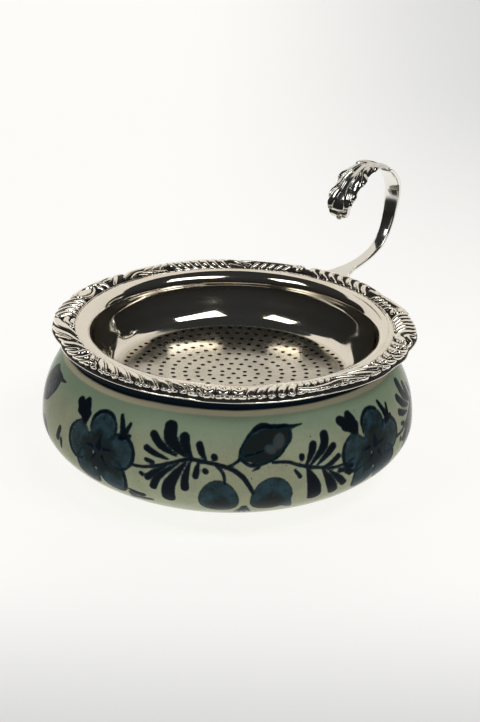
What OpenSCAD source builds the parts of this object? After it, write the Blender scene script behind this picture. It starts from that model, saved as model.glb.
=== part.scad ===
// Tea strainer with a cast scroll border and a curled handle, lying loose on its glazed
// drip bowl. Millimetres, +Z up. Origin: centre of the bowl's foot, on the table.

/* [Drip bowl] */
// Largest diameter of the glazed bowl
bowl_d = 90; // [70:0.5:110]
// Height of the largest diameter above the table
belly_z = 15.2; // [12:0.1:20]
// Height of the belly's lower curve
belly_drop = 18.3; // [16:0.1:24]
// Height of the shoulder line
shoulder_z = 31; // [26:0.1:34]
// Radius of the shoulder line
shoulder_r = 39.3; // [36:0.1:42]
// Height of the mouth
mouth_z = 35.3; // [33:0.1:38]
// Inner radius of the mouth
mouth_r = 36.9; // [35.8:0.1:38]
// Wall thickness
wall = 3.6; // [2.5:0.1:5]
// Radius of the unglazed foot ring
foot_r = 27.5; // [20:0.1:34]

/* [Strainer bowl] */
// Inner radius of the opening
open_r = 34; // [30:0.1:36]
// Thickness of the pressed sheet
sheet = 0.6; // [0.4:0.05:1]
// Radius of the rolled lip
lip_r = 3.2; // [2:0.1:4]
// Radius of the sheet flange under the border
flange_r = 41.9; // [40:0.1:43]
// Radius of the perforated bottom
sieve_r = 28; // [24:0.1:30]
// Depth of the bottom's edge under the lip
sieve_z = 11.8; // [10:0.1:16]
// How much lower the centre of the bottom lies
sieve_sag = 1.2; // [0.5:0.1:4]
// Diameter of one hole
hole_d = 1.05; // [0.6:0.05:1.6]
// Distance between the rings of holes
hole_pitch = 2.95; // [2:0.01:3.5]
// Number of rings of holes
hole_rings = 9; // [4:1:9]

/* [Border] */
// Inner radius of the cast border
border_r0 = 38.1; // [37.5:0.1:39]
// Outer radius of the cast border between the lobes
border_r1 = 43.1; // [42:0.1:44]
// Number of gadroon lobes along the outer edge
lobes = 60; // [36:2:80]
// Height of the relief
relief = 0.5; // [0.2:0.05:0.8]

/* [Handle] */
// Direction of the handle seen from above
handle_az = 55; // [0:1:180]
// Thickness of the strap
strap_t = 1.1; // [0.8:0.1:2]
// Width of the strap at the loop
strap_w = 4.9; // [3:0.1:6]
// Width of the strap where it is soldered on
root_w = 8; // [5:0.1:10]
// Largest width of the cast leaf
leaf_w = 8.6; // [6:0.1:11]

/* [Seat] */
// Height of the lip's top when the strainer lies on the bowl
seat_z = 37.2; // [35:0.1:40]
// Sideways play taken up by the strainer
seat_x = 1.3; // [0:0.1:2]
// Tilt of the strainer as it lies on the mouth
seat_tilt = 1.2; // [0:0.1:2]

/* [Hidden] */
$fa = 4;
$fs = 0.5;
R = bowl_d / 2;
STEPS = 20;
lip_c = [open_r + lip_r, -lip_r];
slope = 23;
// glazed body, outside: lower ellipse, then a belly that draws in to the shoulder line
function low(z) = R * sqrt(max(0.02, 1 - pow((belly_z - z) / belly_drop, 2)));
function q(t) = sin(90 * t);
function upz(t) = belly_z + (shoulder_z - belly_z) * q(t);
function upr(t) = R - (R - shoulder_r) * pow(q(t), 2.2);
outside = concat([for (i = [0:STEPS]) let(z = 1.1 + (belly_z - 1.1) * i / STEPS) [low(z), z]],
                 [for (i = [1:STEPS]) [upr(i / STEPS), upz(i / STEPS)]]);
// the flange's upper side, from the top of the lip outwards
lip_top = [for (a = [90:-4.6:67]) lip_c + lip_r * [cos(a), sin(a)]];
lip_end = lip_c + lip_r * [cos(67), sin(67)];
flange_z = lip_end[1] - (flange_r - lip_end[0]) * tan(slope);
function on_slope(r) = lip_end[1] - (r - lip_end[0]) * tan(slope);
// handle's centre line in its own upright plane: [distance from the strainer's axis, height]
strap_pts = [[42.2, -1.05], [44, -0.95], [48.6, -0.73], [54.8, -0.5], [59.7, 0.2], [63.9, 1.7],
             [66.9, 4.4], [68.7, 7.6], [69.7, 11], [70.3, 14.2], [70.2, 16.9], [69, 19.3],
             [66.8, 21.5]];
leaf_pts = [[66.8, 21.5], [63.9, 23.2], [60.2, 24.6], [56.6, 25.1], [53.3, 24.8], [50.1, 23.7],
            [47.4, 21.9], [45.3, 19.8], [44.2, 17.7], [44.3, 15.9], [45.6, 14.8]];
function cat(p0, p1, p2, p3, t) = 0.5 * (2 * p1 + (p2 - p0) * t
    + (2 * p0 - 5 * p1 + 4 * p2 - p3) * t * t + (3 * p1 - p0 - 3 * p2 + p3) * t * t * t);
function fine(p, n = 4) = let(m = len(p) - 1) [for (i = [0:m - 1]) for (k = [0:n - 1])
    cat(p[max(0, i - 1)], p[i], p[i + 1], p[min(m, i + 2)], k / n)];
function norm2(v) = v / max(1e-6, norm(v));
function side(p, i) = let(a = p[max(0, i - 1)], b = p[min(len(p) - 1, i + 1)],
    d = norm2(b - a)) [-d[1], d[0]];
function band(p, h) = concat([for (i = [0:len(p) - 1]) p[i] + side(p, i) * h],
    [for (i = [len(p) - 1:-1:0]) p[i] - side(p, i) * h]);

module seated() {
    translate([seat_x, 0, seat_z]) rotate([seat_tilt, 0, 0]) children();
}

module drip_bowl() {
    rs = shoulder_r;
    color([0.55, 0.6, 0.5]) difference() {
        rotate_extrude($fn = 180) polygon(concat(
            [[0, 2.4], [foot_r - 4.4, 2.0], [foot_r - 3.6, 0.3], [foot_r - 3.2, 0],
             [foot_r - 0.6, 0], [foot_r, 0.35], [foot_r + 0.2, 1.0]],
            outside,
            [[rs - 0.35, shoulder_z + 0.3], [rs - 0.5, shoulder_z + 1],
             [rs - 0.55, mouth_z - 1.6], [rs - 0.8, mouth_z - 0.6], [rs - 1.3, mouth_z - 0.1],
             [mouth_r + 1, mouth_z], [0, mouth_z]]));
        rotate_extrude($fn = 180) polygon(concat(
            [[0, 5.2], [18, 5.3]],
            [for (i = [8:2:STEPS]) let(z = 1.1 + (belly_z - 1.1) * i / STEPS)
                [low(z) - wall * 1.05, z + 1.2]],
            [for (i = [2:2:STEPS - 1]) [upr(i / STEPS) - wall, upz(i / STEPS)]],
            [[mouth_r, shoulder_z + 0.8], [mouth_r, mouth_z - 0.8], [mouth_r + 0.3, mouth_z - 0.25],
             [mouth_r + 0.9, mouth_z + 0.1], [0, mouth_z + 0.1]]));
    }
}

module sieve_holes() {
    for (k = [0:hole_rings]) let(n = max(1, round(7.6 * k))) for (j = [0:n - 1])
        rotate((j + (k % 2) / 2) * 360 / n)
            translate([k * hole_pitch, 0, -sieve_z - sieve_sag - 2])
                cylinder(d = hole_d, h = sieve_sag + 4, $fn = 16);
}

module strainer_bowl() {
    cap_r = (sieve_r * sieve_r + sieve_sag * sieve_sag) / (2 * sieve_sag);
    up = -sieve_z - sieve_sag + cap_r;
    inner = concat([[sieve_r - 0.6, -sieve_z + 0.02]],
        [for (a = [75:-15:15]) [sieve_r - 0.2 + 3 * sin(90 - a), -sieve_z + 3 - 3 * sin(a)]],
        [[open_r - 1.7, -7.6], [open_r - 0.45, -5.2]],
        [for (a = [180:-9:99]) lip_c + lip_r * [cos(a), sin(a)]], lip_top,
        [[flange_r, flange_z]]);
    outer = concat([[flange_r, flange_z - sheet * 1.09]],
        [for (a = [67:9.5:180]) lip_c + (lip_r - sheet) * [cos(a), sin(a)]],
        [[open_r + 0.15, -5.1], [open_r - 1.05, -7.7]],
        [for (a = [15:15:75]) [sieve_r - 0.2 + (3 + sheet) * sin(90 - a),
            -sieve_z + 3 - (3 + sheet) * sin(a)]],
        [[sieve_r - 0.6, -sieve_z - sheet]]);
    color([0.8, 0.8, 0.78]) seated() {
        rotate_extrude($fn = 160) polygon(concat(inner, outer));
        difference() {
            intersection() {
                difference() {
                    translate([0, 0, up]) sphere(r = cap_r + sheet, $fn = 160);
                    translate([0, 0, up]) sphere(r = cap_r, $fn = 160);
                }
                translate([0, 0, -sieve_z - sieve_sag - 1])
                    cylinder(r = sieve_r, h = sieve_sag + 2, $fn = 160);
            }
            sieve_holes();
        }
    }
}

module scroll(r, w) {
    rotate_extrude(angle = 250, $fn = 24) translate([r, 0]) circle(d = w, $fn = 10);
}

module border() {
    lift = 1.15;
    color([0.72, 0.71, 0.66]) seated() difference() {
        union() {
            rotate_extrude($fn = 160) polygon(concat(
                [for (a = [73.6:-3.3:67]) lip_c + lip_r * [cos(a), sin(a)]],
                [[flange_r, flange_z], [flange_r + 0.5, flange_z - 0.35],
                 [border_r1 - 0.2, -1.9], [border_r1, -1.65], [border_r1, -0.6],
                 [42.6, 0.05], [41.6, 0.58], [40.4, 0.8], [39.4, 0.6], [38.6, 0.25],
                 [38.2, 0]]));
            // gadroon lobes along the outer edge, left out where the handle is soldered on
            for (i = [0:lobes - 1]) if (abs(i * 360 / lobes - handle_az) > 7)
                rotate(i * 360 / lobes) translate([42.6, 0, -0.35])
                    sphere(d = i % 3 == 0 ? 2.3 : 1.8, $fn = 16);
            // paired scrolls and the shell between them, four times round
            for (a = [0:90:270]) rotate(a) {
                for (s = [-1, 1]) rotate(9 * s) translate([40.4, 0, lift - 0.45])
                    rotate([0, 8, s > 0 ? 60 : 50]) scroll(1.35, 0.8);
                for (k = [-2:2]) rotate(2.4 * k) translate([40.7, 0, lift - 0.5]) rotate([0, 97, 0])
                    cylinder(d = 0.8, h = 2.6, center = true, $fn = 12);
            }
            for (a = [45:90:315]) rotate(a) for (k = [-5:5]) rotate(3 * k)
                translate([40.4, 0, lift - 0.5]) rotate([0, 97, 25 * sign(k)])
                    cylinder(d = 0.8, h = 3, center = true, $fn = 12);
        }
        translate([0, 0, -20]) cylinder(r = border_r0 - 0.02, h = 40, $fn = 160);
        // lower side follows the lip and the flange it is soldered to
        rotate_extrude($fn = 160) polygon([[30, -20], [30, on_slope(30) - 8],
            [37.6, -0.6], lip_end, [flange_r, flange_z], [flange_r, -20]]);
    }
}

module in_handle_plane() {
    seated() rotate(handle_az) children();
}

module upright(h) {
    rotate([90, 0, 0]) linear_extrude(height = h, center = true) children();
}

module handle_strap() {
    p = fine(strap_pts);
    color([0.8, 0.8, 0.78]) in_handle_plane() difference() {
        union() {
            // the flare at the root is shaped from above, the rise from its front
            intersection() {
                upright(root_w + 2) polygon(band(p, strap_t / 2));
                translate([0, 0, -5]) linear_extrude(height = 9) polygon([
                    [42, root_w / 2], [44.5, root_w / 2], [47, root_w * 0.36], [51, 1.9], [56, 1.55],
                    [66, 1.55], [66, -1.55], [56, -1.55], [51, -1.9], [47, -root_w * 0.36],
                    [44.5, -root_w / 2], [42, -root_w / 2]]);
            }
            intersection() {
                upright(strap_w + 2) polygon(band(p, strap_t / 2));
                translate([60, 0, 0]) rotate([90, 0, 90]) linear_extrude(height = 20) polygon([
                    [1.55, 0], [1.55, 4], [1.75, 8], [2.2, 11.5], [strap_w / 2, 15],
                    [strap_w / 2, 30], [-strap_w / 2, 30], [-strap_w / 2, 15], [-2.2, 11.5],
                    [-1.75, 8], [-1.55, 4], [-1.55, 0]]);
            }
        }
        translate([0, 0, -10]) cylinder(r = border_r1, h = 20, $fn = 160);
    }
}

module handle_leaf() {
    p = concat(fine(leaf_pts), [leaf_pts[len(leaf_pts) - 1]]);
    color([0.72, 0.71, 0.66]) in_handle_plane() difference() {
        union() {
            intersection() {
                upright(leaf_w + 2) polygon(band(p, 0.7));
                translate([0, 0, 10]) linear_extrude(height = 20) union() {
                    polygon([[69, 2], [64, 2.4], [58, 3.2], [52, 3.2], [46, 2.2], [43, 1.6],
                             [43, -1.6], [46, -2.2], [52, -3.2], [58, -3.2], [64, -2.4], [69, -2]]);
                    for (s = [-1, 1]) {
                        translate([61.6, 2.2 * s]) circle(r = 1.6, $fn = 24);
                        translate([58.3, 2.5 * s]) circle(r = 1.8, $fn = 24);
                        translate([54.6, 2.4 * s]) circle(r = 1.9, $fn = 24);
                        translate([50.9, 2.1 * s]) circle(r = 1.8, $fn = 24);
                        translate([47.6, 1.7 * s]) circle(r = 1.6, $fn = 24);
                    }
                }
            }
            // midrib and the small curl at the tip
            upright(1.3) polygon(band(p, 1.05));
            translate([45.6, 0, 14.9]) rotate([90, 0, 0]) cylinder(r = 1.15, h = 3, center = true, $fn = 24);
        }
        // the strap ends where the leaf begins
        upright(20) polygon([[65.1, 17.7], [66.8, 21.5], [69.2, 26.5], [76, 26], [76, 16]]);
    }
}

drip_bowl();
strainer_bowl();
border();
handle_strap();
handle_leaf();
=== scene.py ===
import math

import bmesh
import bpy
import numpy as np
from bpy.props import FloatProperty, FloatVectorProperty, IntProperty, PointerProperty
from mathutils import Matrix, Vector


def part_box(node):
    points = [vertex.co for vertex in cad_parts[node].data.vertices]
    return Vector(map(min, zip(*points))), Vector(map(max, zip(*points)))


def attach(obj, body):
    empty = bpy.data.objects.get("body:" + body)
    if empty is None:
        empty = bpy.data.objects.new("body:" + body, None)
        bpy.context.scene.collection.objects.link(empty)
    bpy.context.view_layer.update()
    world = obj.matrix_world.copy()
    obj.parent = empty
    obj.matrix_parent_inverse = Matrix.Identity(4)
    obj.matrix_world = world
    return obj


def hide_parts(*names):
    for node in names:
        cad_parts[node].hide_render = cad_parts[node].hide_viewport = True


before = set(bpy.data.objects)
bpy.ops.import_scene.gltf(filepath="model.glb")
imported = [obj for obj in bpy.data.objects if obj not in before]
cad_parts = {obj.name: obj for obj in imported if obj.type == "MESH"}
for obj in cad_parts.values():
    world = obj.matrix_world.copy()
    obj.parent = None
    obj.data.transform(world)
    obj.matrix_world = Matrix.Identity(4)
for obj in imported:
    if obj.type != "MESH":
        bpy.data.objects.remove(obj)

bl_info = {
    "name": "Tea strainer on its drip bowl",
    "version": (1, 0, 0),
    "blender": (4, 5, 0),
    "location": "View3D > Sidebar > Tea strainer",
    "description": "Builds a silver tea strainer with a cast border on a painted drip bowl",
    "category": "Object",
}

MM = 0.001
LIP_RADIUS = 0.0032
OPENING_RADIUS = 0.034
SEAT_TILT = math.radians(1.2)
SEAT_GAP = 0.00001
BORDER_RADIUS = 43.0        # outer radius of the border in mm, before its edge is drawn in and out
FOREVER = 9.0               # a distance, in stroke widths, at which a stroke no longer counts
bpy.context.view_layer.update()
BOWL_LO, BOWL_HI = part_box("drip_bowl")
SHEET_LO, SHEET_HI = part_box("strainer_bowl")


# ---------------------------------------------------------------- sizes and colours

class TeaBowlSettings(bpy.types.PropertyGroup):
    radius: FloatProperty(
        name="Belly radius", description="Radius of the bowl at its widest",
        default=(BOWL_HI.x - BOWL_LO.x) / 2, unit="LENGTH")
    belly_z: FloatProperty(
        name="Belly height", description="Height of the widest part above the table",
        default=0.0152, unit="LENGTH")
    belly_drop: FloatProperty(
        name="Lower curve", description="Height of the ellipse under the belly",
        default=0.0183, unit="LENGTH")
    shoulder_z: FloatProperty(
        name="Shoulder height", description="Height of the shoulder line",
        default=0.031, unit="LENGTH")
    shoulder_r: FloatProperty(
        name="Shoulder radius", description="Radius of the shoulder line",
        default=0.0393, unit="LENGTH")
    mouth_z: FloatProperty(
        name="Mouth height", description="Height of the rim of the mouth",
        default=BOWL_HI.z, unit="LENGTH")
    mouth_r: FloatProperty(
        name="Mouth radius", description="Inner radius of the mouth",
        default=0.0369, unit="LENGTH")
    glaze: FloatVectorProperty(
        name="Glaze", description="Colour of the celadon glaze", subtype="COLOR",
        default=(0.355, 0.385, 0.258), min=0, max=1)
    glaze_deep: FloatVectorProperty(
        name="Pooled glaze", description="Glaze where it lies thick", subtype="COLOR",
        default=(0.24, 0.345, 0.235), min=0, max=1)
    line: FloatVectorProperty(
        name="Shoulder line", description="Thin glaze on the shoulder's edge", subtype="COLOR",
        default=(0.60, 0.54, 0.38), min=0, max=1)
    ink: FloatVectorProperty(
        name="Cobalt line", description="Full brush strokes", subtype="COLOR",
        default=(0.0025, 0.005, 0.011), min=0, max=1)
    wash: FloatVectorProperty(
        name="Cobalt wash", description="Thin wash in petals and leaves", subtype="COLOR",
        default=(0.0105, 0.029, 0.040), min=0, max=1)


class TeaStrainerSettings(bpy.types.PropertyGroup):
    lip_r: FloatProperty(
        name="Lip radius", description="Radius of the rolled lip", default=LIP_RADIUS,
        unit="LENGTH")
    open_r: FloatProperty(
        name="Opening radius", description="Inner radius of the opening",
        default=OPENING_RADIUS, unit="LENGTH")
    sheet: FloatProperty(
        name="Sheet", description="Thickness of the pressed sheet", default=0.0006, unit="LENGTH")
    sieve_r: FloatProperty(
        name="Sieve radius", description="Radius of the domed bottom",
        default=0.0276, unit="LENGTH")
    sieve_z: FloatProperty(
        name="Sieve depth", description="Depth of the bottom's edge under the lip",
        default=0.0118, unit="LENGTH")
    sag: FloatProperty(
        name="Sag", description="How much lower the centre of the bottom lies",
        default=0.0012, unit="LENGTH")
    hole: FloatProperty(
        name="Hole", description="Diameter of one hole", default=0.00112, unit="LENGTH")
    pitch: FloatProperty(
        name="Ring pitch", description="Distance between the rings of holes",
        default=0.00295, unit="LENGTH")
    rings: IntProperty(
        name="Rings", description="Number of rings of holes", default=9, min=1, max=9)
    silver: FloatVectorProperty(
        name="Silver", description="Colour of polished silver plate", subtype="COLOR",
        default=(0.87, 0.815, 0.72), min=0, max=1)


class TeaBorderSettings(bpy.types.PropertyGroup):
    relief: FloatProperty(
        name="Relief", description="Height of the cast ornament", default=0.00074, unit="LENGTH")
    beads: IntProperty(
        name="Beads", description="Number of bead lobes round the full edge",
        default=120, min=20, max=200)
    silver: FloatVectorProperty(
        name="Cast silver", description="Colour of the worn high parts", subtype="COLOR",
        default=(0.93, 0.875, 0.775), min=0, max=1)
    # dark colour of the patina in the recesses, also used as painted dark reflection on the
    # border's upright edge and the leaf's tip
    patina_and_dark_reflection: FloatVectorProperty(
        name="Patina", description="Dark colour left in the recesses", subtype="COLOR",
        default=(0.012, 0.010, 0.008), min=0, max=1)


class TeaHandleSettings(bpy.types.PropertyGroup):
    azimuth: FloatProperty(
        name="Direction", description="Direction of the handle seen from above",
        default=math.radians(55), subtype="ANGLE")
    strap: FloatProperty(
        name="Strap width", description="Width of the strap at the loop",
        default=0.0049, unit="LENGTH")
    root: FloatProperty(
        name="Root width", description="Width of the soldered root", default=0.008, unit="LENGTH")
    leaf: FloatProperty(
        name="Leaf width", description="Largest width of the leaf", default=0.0082, unit="LENGTH")


class TeaStageSettings(bpy.types.PropertyGroup):
    floor: FloatVectorProperty(
        name="Floor", description="Colour of floor and sweep", subtype="COLOR",
        default=(0.30, 0.30, 0.295), min=0, max=1)
    distance: FloatProperty(
        name="Camera distance", description="Distance from camera to object",
        default=0.55, unit="LENGTH")
    elevation: FloatProperty(
        name="Camera elevation", description="How far the camera looks down",
        default=math.radians(22), subtype="ANGLE")
    lens: FloatProperty(
        name="Lens", description="Focal length of the camera in millimetres",
        default=113.3132, min=1)
    # painted glow: light that the floor and sweep give off though they are no lamp
    painted_glow: FloatProperty(name="Table glow", description="Light that the acrylic gives itself",
                        default=0.82, min=0, max=2)
    key: FloatProperty(name="Front light", description="Power of the weak light from the front",
                       default=1.6, unit="POWER")


# ---------------------------------------------------------------- mesh helpers

def seat_matrix():
    """Place of the strainer's own axis: shifted in the mouth's play and lying a little askew."""
    middle = (SHEET_LO.x + SHEET_HI.x) / 2
    rise = (OPENING_RADIUS + LIP_RADIUS) * math.sin(SEAT_TILT)
    top = SHEET_HI.z - rise + LIP_RADIUS * (1 - math.cos(SEAT_TILT))
    return Matrix.Translation((middle, 0, top - SEAT_GAP)) @ Matrix.Rotation(SEAT_TILT, 4, "X")


def link_object(name, data):
    thing = bpy.data.objects.new(name, data)
    bpy.context.scene.collection.objects.link(thing)
    return thing


def new_piece(name, verts, faces):
    mesh = bpy.data.meshes.new(name)
    mesh.from_pydata([tuple(v) for v in verts], [], [tuple(f) for f in faces])
    mesh.validate()
    mesh.shade_smooth()
    return link_object(name, mesh)


def grid_faces(rows, cols, wrap_rows=False):
    """Quads of a grid closed round its columns; the vertex index is row * cols + col."""
    r = np.arange(rows if wrap_rows else rows - 1)
    R, C = np.meshgrid(r, np.arange(cols), indexing="ij")
    R2, C2 = (R + 1) % rows, (C + 1) % cols
    quads = np.stack([R * cols + C, R * cols + C2, R2 * cols + C2, R2 * cols + C], -1)
    return quads.reshape(-1, 4)


def bar_faces(rows, cols):
    """The sides of a bar whose cross sections have cols points, and its two ends."""
    last = (rows - 1) * cols
    sides = [tuple(q) for q in grid_faces(rows, cols)]
    return sides + [tuple(range(cols))[::-1], tuple(last + k for k in range(cols))]


def turned_points(profile, columns):
    """Points of a (radius, height) profile turned round the Z axis."""
    turn = np.arange(columns) * 2 * math.pi / columns
    r = profile[:, 0][:, None]
    heights = np.repeat(profile[:, 1][:, None], columns, 1)
    return np.stack([r * np.cos(turn), r * np.sin(turn), heights], -1).reshape(-1, 3)


def read_values(items, name, width=1, kind=float):
    """One property of all items, as rows of width numbers."""
    values = np.zeros(len(items) * width, kind)
    items.foreach_get(name, values)
    return values.reshape(-1, width) if width > 1 else values


def fix_outward(piece):
    work = bmesh.new()
    work.from_mesh(piece.data)
    bmesh.ops.recalc_face_normals(work, faces=work.faces)
    work.to_mesh(piece.data)
    work.free()


def add_point_values(piece, name, values):
    layer = piece.data.attributes.new(name, "FLOAT", "POINT")
    layer.data.foreach_set("value", np.asarray(values, np.float32).ravel())


def finish_piece(piece, body, material, slot, *nodes):
    piece.data.materials.clear()
    piece.data.materials.append(material)
    for n in nodes:
        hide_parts(n)
    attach(piece, body)


def spline(points, per):
    """Catmull-Rom through rows of numbers, per steps between each two."""
    p = np.asarray(points, float)
    m = len(p) - 1
    out = []
    for i in range(m):
        a, b, c, d = p[max(0, i - 1)], p[i], p[i + 1], p[min(m, i + 2)]
        for k in range(per):
            t = k / per
            out.append(0.5 * (2 * b + (c - a) * t + (2 * a - 5 * b + 4 * c - d) * t * t
                              + (3 * b - a - 3 * c + d) * t ** 3))
    out.append(p[-1])
    return np.array(out)


def lengths_along(line):
    return np.r_[0, np.cumsum(np.linalg.norm(np.diff(line, axis=0), axis=1))]


def frames_along(line):
    """Unit tangents and, on their left, unit normals of a flat line."""
    t = np.gradient(line, axis=0)
    t /= np.linalg.norm(t, axis=1)[:, None]
    return t, np.stack([-t[:, 1], t[:, 0]], 1)


def walk(points, step):
    """The same line with points an even step apart, its two ends kept."""
    p = np.asarray(points, float)
    s = lengths_along(p)
    n = max(2, int(round(s[-1] / step)) + 1)
    at = np.linspace(0, s[-1], n)
    return np.stack([np.interp(at, s, p[:, k]) for k in range(p.shape[1])], 1)


# ---------------------------------------------------------------- brush and chisel work

def ramp_smooth(x, low, high):
    t = np.clip((x - low) / (high - low), 0, 1)
    return t * t * (3 - 2 * t)


def round_back(distance, half):
    """Height of a half round: 1 along its middle and 0 from half outwards."""
    return np.sqrt(np.clip(1 - (np.clip(distance, 0, half) / half) ** 2, 0, 1))


def steps_of(line, A, S, scale):
    """For each step of a line, how far the points (A, S) lie from it and how wide the stroke is
    there. Both are in mm; scale turns A into mm. The share of the step is given as well."""
    for q0, q1 in zip(line[:-1], line[1:]):
        dx, dy = (q1[0] - q0[0]) * scale, q1[1] - q0[1]
        ex, ey = (A - q0[0]) * scale, S - q0[1]
        t = np.clip((ex * dx + ey * dy) / np.maximum(dx * dx + dy * dy, 1e-9), 0, 1)
        yield np.hypot(ex - t * dx, ey - t * dy), q0[2] + (q1[2] - q0[2]) * t, t, q0, q1


class Field:
    """A grid round a turned surface: degrees one way, millimetres along the profile the other.
    Strokes are laid on it, and a point keeps the highest value that it has been given."""

    margin = 1.6            # mm round a stroke that get a value too

    def __init__(self, columns, rows_mm, radius_mm):
        self.n = columns
        self.az = np.arange(columns) * 360.0 / columns
        self.s = np.asarray(rows_mm, float)
        self.per_degree = np.asarray(radius_mm, float) * math.pi / 180
        self.values = {}

    def layer(self, name, start):
        self.values[name] = np.full((len(self.s), self.n), float(start))
        return self.values[name]

    def patch(self, points, reach):
        """The part of the grid within reach, in mm, of the points: its rows and columns, the
        degrees and millimetres there, and the millimetres in one degree."""
        deg = reach / self.per_degree.min()
        low, high = points[:, 1].min() - reach, points[:, 1].max() + reach
        rows = np.where((self.s >= low) & (self.s <= high))[0]
        first = int(math.floor((points[:, 0].min() - deg) * self.n / 360))
        last = int(math.ceil((points[:, 0].max() + deg) * self.n / 360))
        cols = np.arange(first, last + 1)
        return (rows, cols, (cols * 360.0 / self.n)[None, :], self.s[rows][:, None],
                self.per_degree[rows][:, None])

    def stroke(self, name, points, smooth=4, shape=None):
        """points are (degrees, mm, radius mm). The value is the depth inside the stroke, or what
        shape turns it into."""
        p = np.asarray(points, float)
        if len(p) > 2:
            p = spline(p, smooth)
        rows, cols, A, S, scale = self.patch(p, p[:, 2].max() + self.margin)
        best = np.full((len(rows), len(cols)), -1e9)
        for distance, radius, *_ in steps_of(p, A, S, scale):
            best = np.maximum(best, radius - distance)
        self.lay(name, rows, cols, shape(best) if shape else best)

    def oval(self, name, centre, size, turn=0.0, shape=None):
        """An ellipse: centre (degrees, mm), half sizes in mm, turned by degrees."""
        rows, cols, A, S, scale = self.patch(np.array([centre]), max(size) + self.margin)
        X, Y = (A - centre[0]) * scale, S - centre[1]
        c, s = math.cos(math.radians(turn)), math.sin(math.radians(turn))
        u, v = (X * c + Y * s) / size[0], (-X * s + Y * c) / size[1]
        k = np.hypot(u, v)
        steep = np.hypot(u / size[0], v / size[1]) / np.maximum(k, 1e-6)
        depth = (1 - k) / np.maximum(steep, 1e-6)
        self.lay(name, rows, cols, shape(depth) if shape else depth)

    def lay(self, name, rows, cols, value):
        layer = self.values[name]
        at = np.ix_(rows, cols % self.n)
        layer[at] = np.maximum(layer[at], value)


class Carving(Field):
    """Strokes that share the ground between them: each point belongs to the nearest stroke, and a
    fine groove is left where two strokes meet."""

    reach = 2.2             # how far round a ridge, in mm, it may still be the nearest one

    def __init__(self, columns, rows_mm, radius_mm):
        super().__init__(columns, rows_mm, radius_mm)
        self.near = self.layer("near", FOREVER)
        self.second = self.layer("second", FOREVER)
        self.top = self.layer("top", 0.0)

    def take(self, rows, cols, distance, height):
        at = np.ix_(rows, cols % self.n)
        near, second, top = self.near[at], self.second[at], self.top[at]
        closer = distance < near
        self.second[at] = np.where(closer, near, np.minimum(second, distance))
        self.near[at] = np.where(closer, distance, near)
        self.top[at] = np.where(closer, height, top)

    def ridge(self, points, smooth=4):
        """points are (degrees, mm, half width mm, height); the distance counts in half widths."""
        p = np.asarray(points, float)
        if len(p) > 2:
            p = spline(p, smooth)
        rows, cols, A, S, scale = self.patch(p, self.reach)
        best = np.full((len(rows), len(cols)), FOREVER)
        height = np.zeros_like(best)
        for distance, half, t, q0, q1 in steps_of(p, A, S, scale):
            better = distance / half < best
            best = np.where(better, distance / half, best)
            height = np.where(better, q0[3] + (q1[3] - q0[3]) * t, height)
        self.take(rows, cols, best, height)

    def boss(self, centre, size):
        """An oval knob at centre (degrees, mm) with half sizes in mm."""
        rows, cols, A, S, scale = self.patch(np.array([centre]), max(size) * self.reach)
        distance = np.hypot((A - centre[0]) * scale / size[0], (S - centre[1]) / size[1])
        self.take(rows, cols, distance, np.ones(distance.shape))

    def relief(self, groove=0.95):
        """Height 0 to 1: 0 in the grooves, round-backed ridges between them."""
        return (self.top * ramp_smooth(self.second - self.near, 0, groove)
                * round_back(self.near, 1.5))


# ---------------------------------------------------------------- node helpers

class Nodes:
    """Adds nodes by type, joins sockets and sets values in one call."""

    def __init__(self, tree):
        self.tree = tree

    def add(self, kind, values=(), out=0, **settings):
        node = self.tree.nodes.new(kind)
        for key, value in settings.items():
            setattr(node, key, value)
        for key, value in dict(values).items():
            if isinstance(value, bpy.types.NodeSocket):
                self.tree.links.new(value, node.inputs[key])
            else:
                node.inputs[key].default_value = value
        return node.outputs[out] if out is not None else node

    def parts_of(self, vector):
        """The X, Y and Z of a vector."""
        return self.add("ShaderNodeSeparateXYZ", {0: vector}, out=None).outputs

    def join(self, *parts):
        node = self.add("GeometryNodeJoinGeometry", out=None)
        for part in parts:
            self.tree.links.new(part, node.inputs[0])
        return node.outputs[0]

    def math(self, operation, *values):
        return self.add("ShaderNodeMath", dict(enumerate(values)), operation=operation)

    def squared_radius(self, xyz):
        x, y = xyz[0], xyz[1]
        return self.math("ADD", self.math("MULTIPLY", x, x), self.math("MULTIPLY", y, y))

    def sway(self, value, amount, middle=0.5):
        """A noise value turned into a swing round zero."""
        return self.math("MULTIPLY", self.math("SUBTRACT", value, middle), amount)

    def fit(self, value, low, high, to_low=0.0, to_high=1.0, kind="SMOOTHSTEP"):
        return self.add("ShaderNodeMapRange", {
            "Value": value, "From Min": low, "From Max": high,
            "To Min": to_low, "To Max": to_high}, interpolation_type=kind)

    def noise(self, vector, scale, detail=3.0, rough=0.5):
        return self.add("ShaderNodeTexNoise", {
            "Vector": vector, "Scale": scale, "Detail": detail, "Roughness": rough})

    def mix(self, factor, a, b):
        return self.add("ShaderNodeMix", {0: factor, 6: a, 7: b}, out=2, data_type="RGBA")

    def bump(self, height, distance, strength, under=None):
        values = {"Height": height, "Distance": distance, "Strength": strength}
        if under is not None:
            values["Normal"] = under
        return self.add("ShaderNodeBump", values)

    def value_of(self, name):
        return self.add("ShaderNodeAttribute", out=2, attribute_name=name)


def colour(c, gain=1.0):
    return (c[0] * gain, c[1] * gain, c[2] * gain, 1.0)


def new_material(name):
    material = bpy.data.materials.new(name)
    material.use_nodes = True
    tree = material.node_tree
    shader = tree.nodes["Principled BSDF"]
    return material, Nodes(tree), shader, tree


def place(n):
    """The point on the piece, in its own coordinates."""
    return n.add("ShaderNodeTexCoord", out=3)


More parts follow.
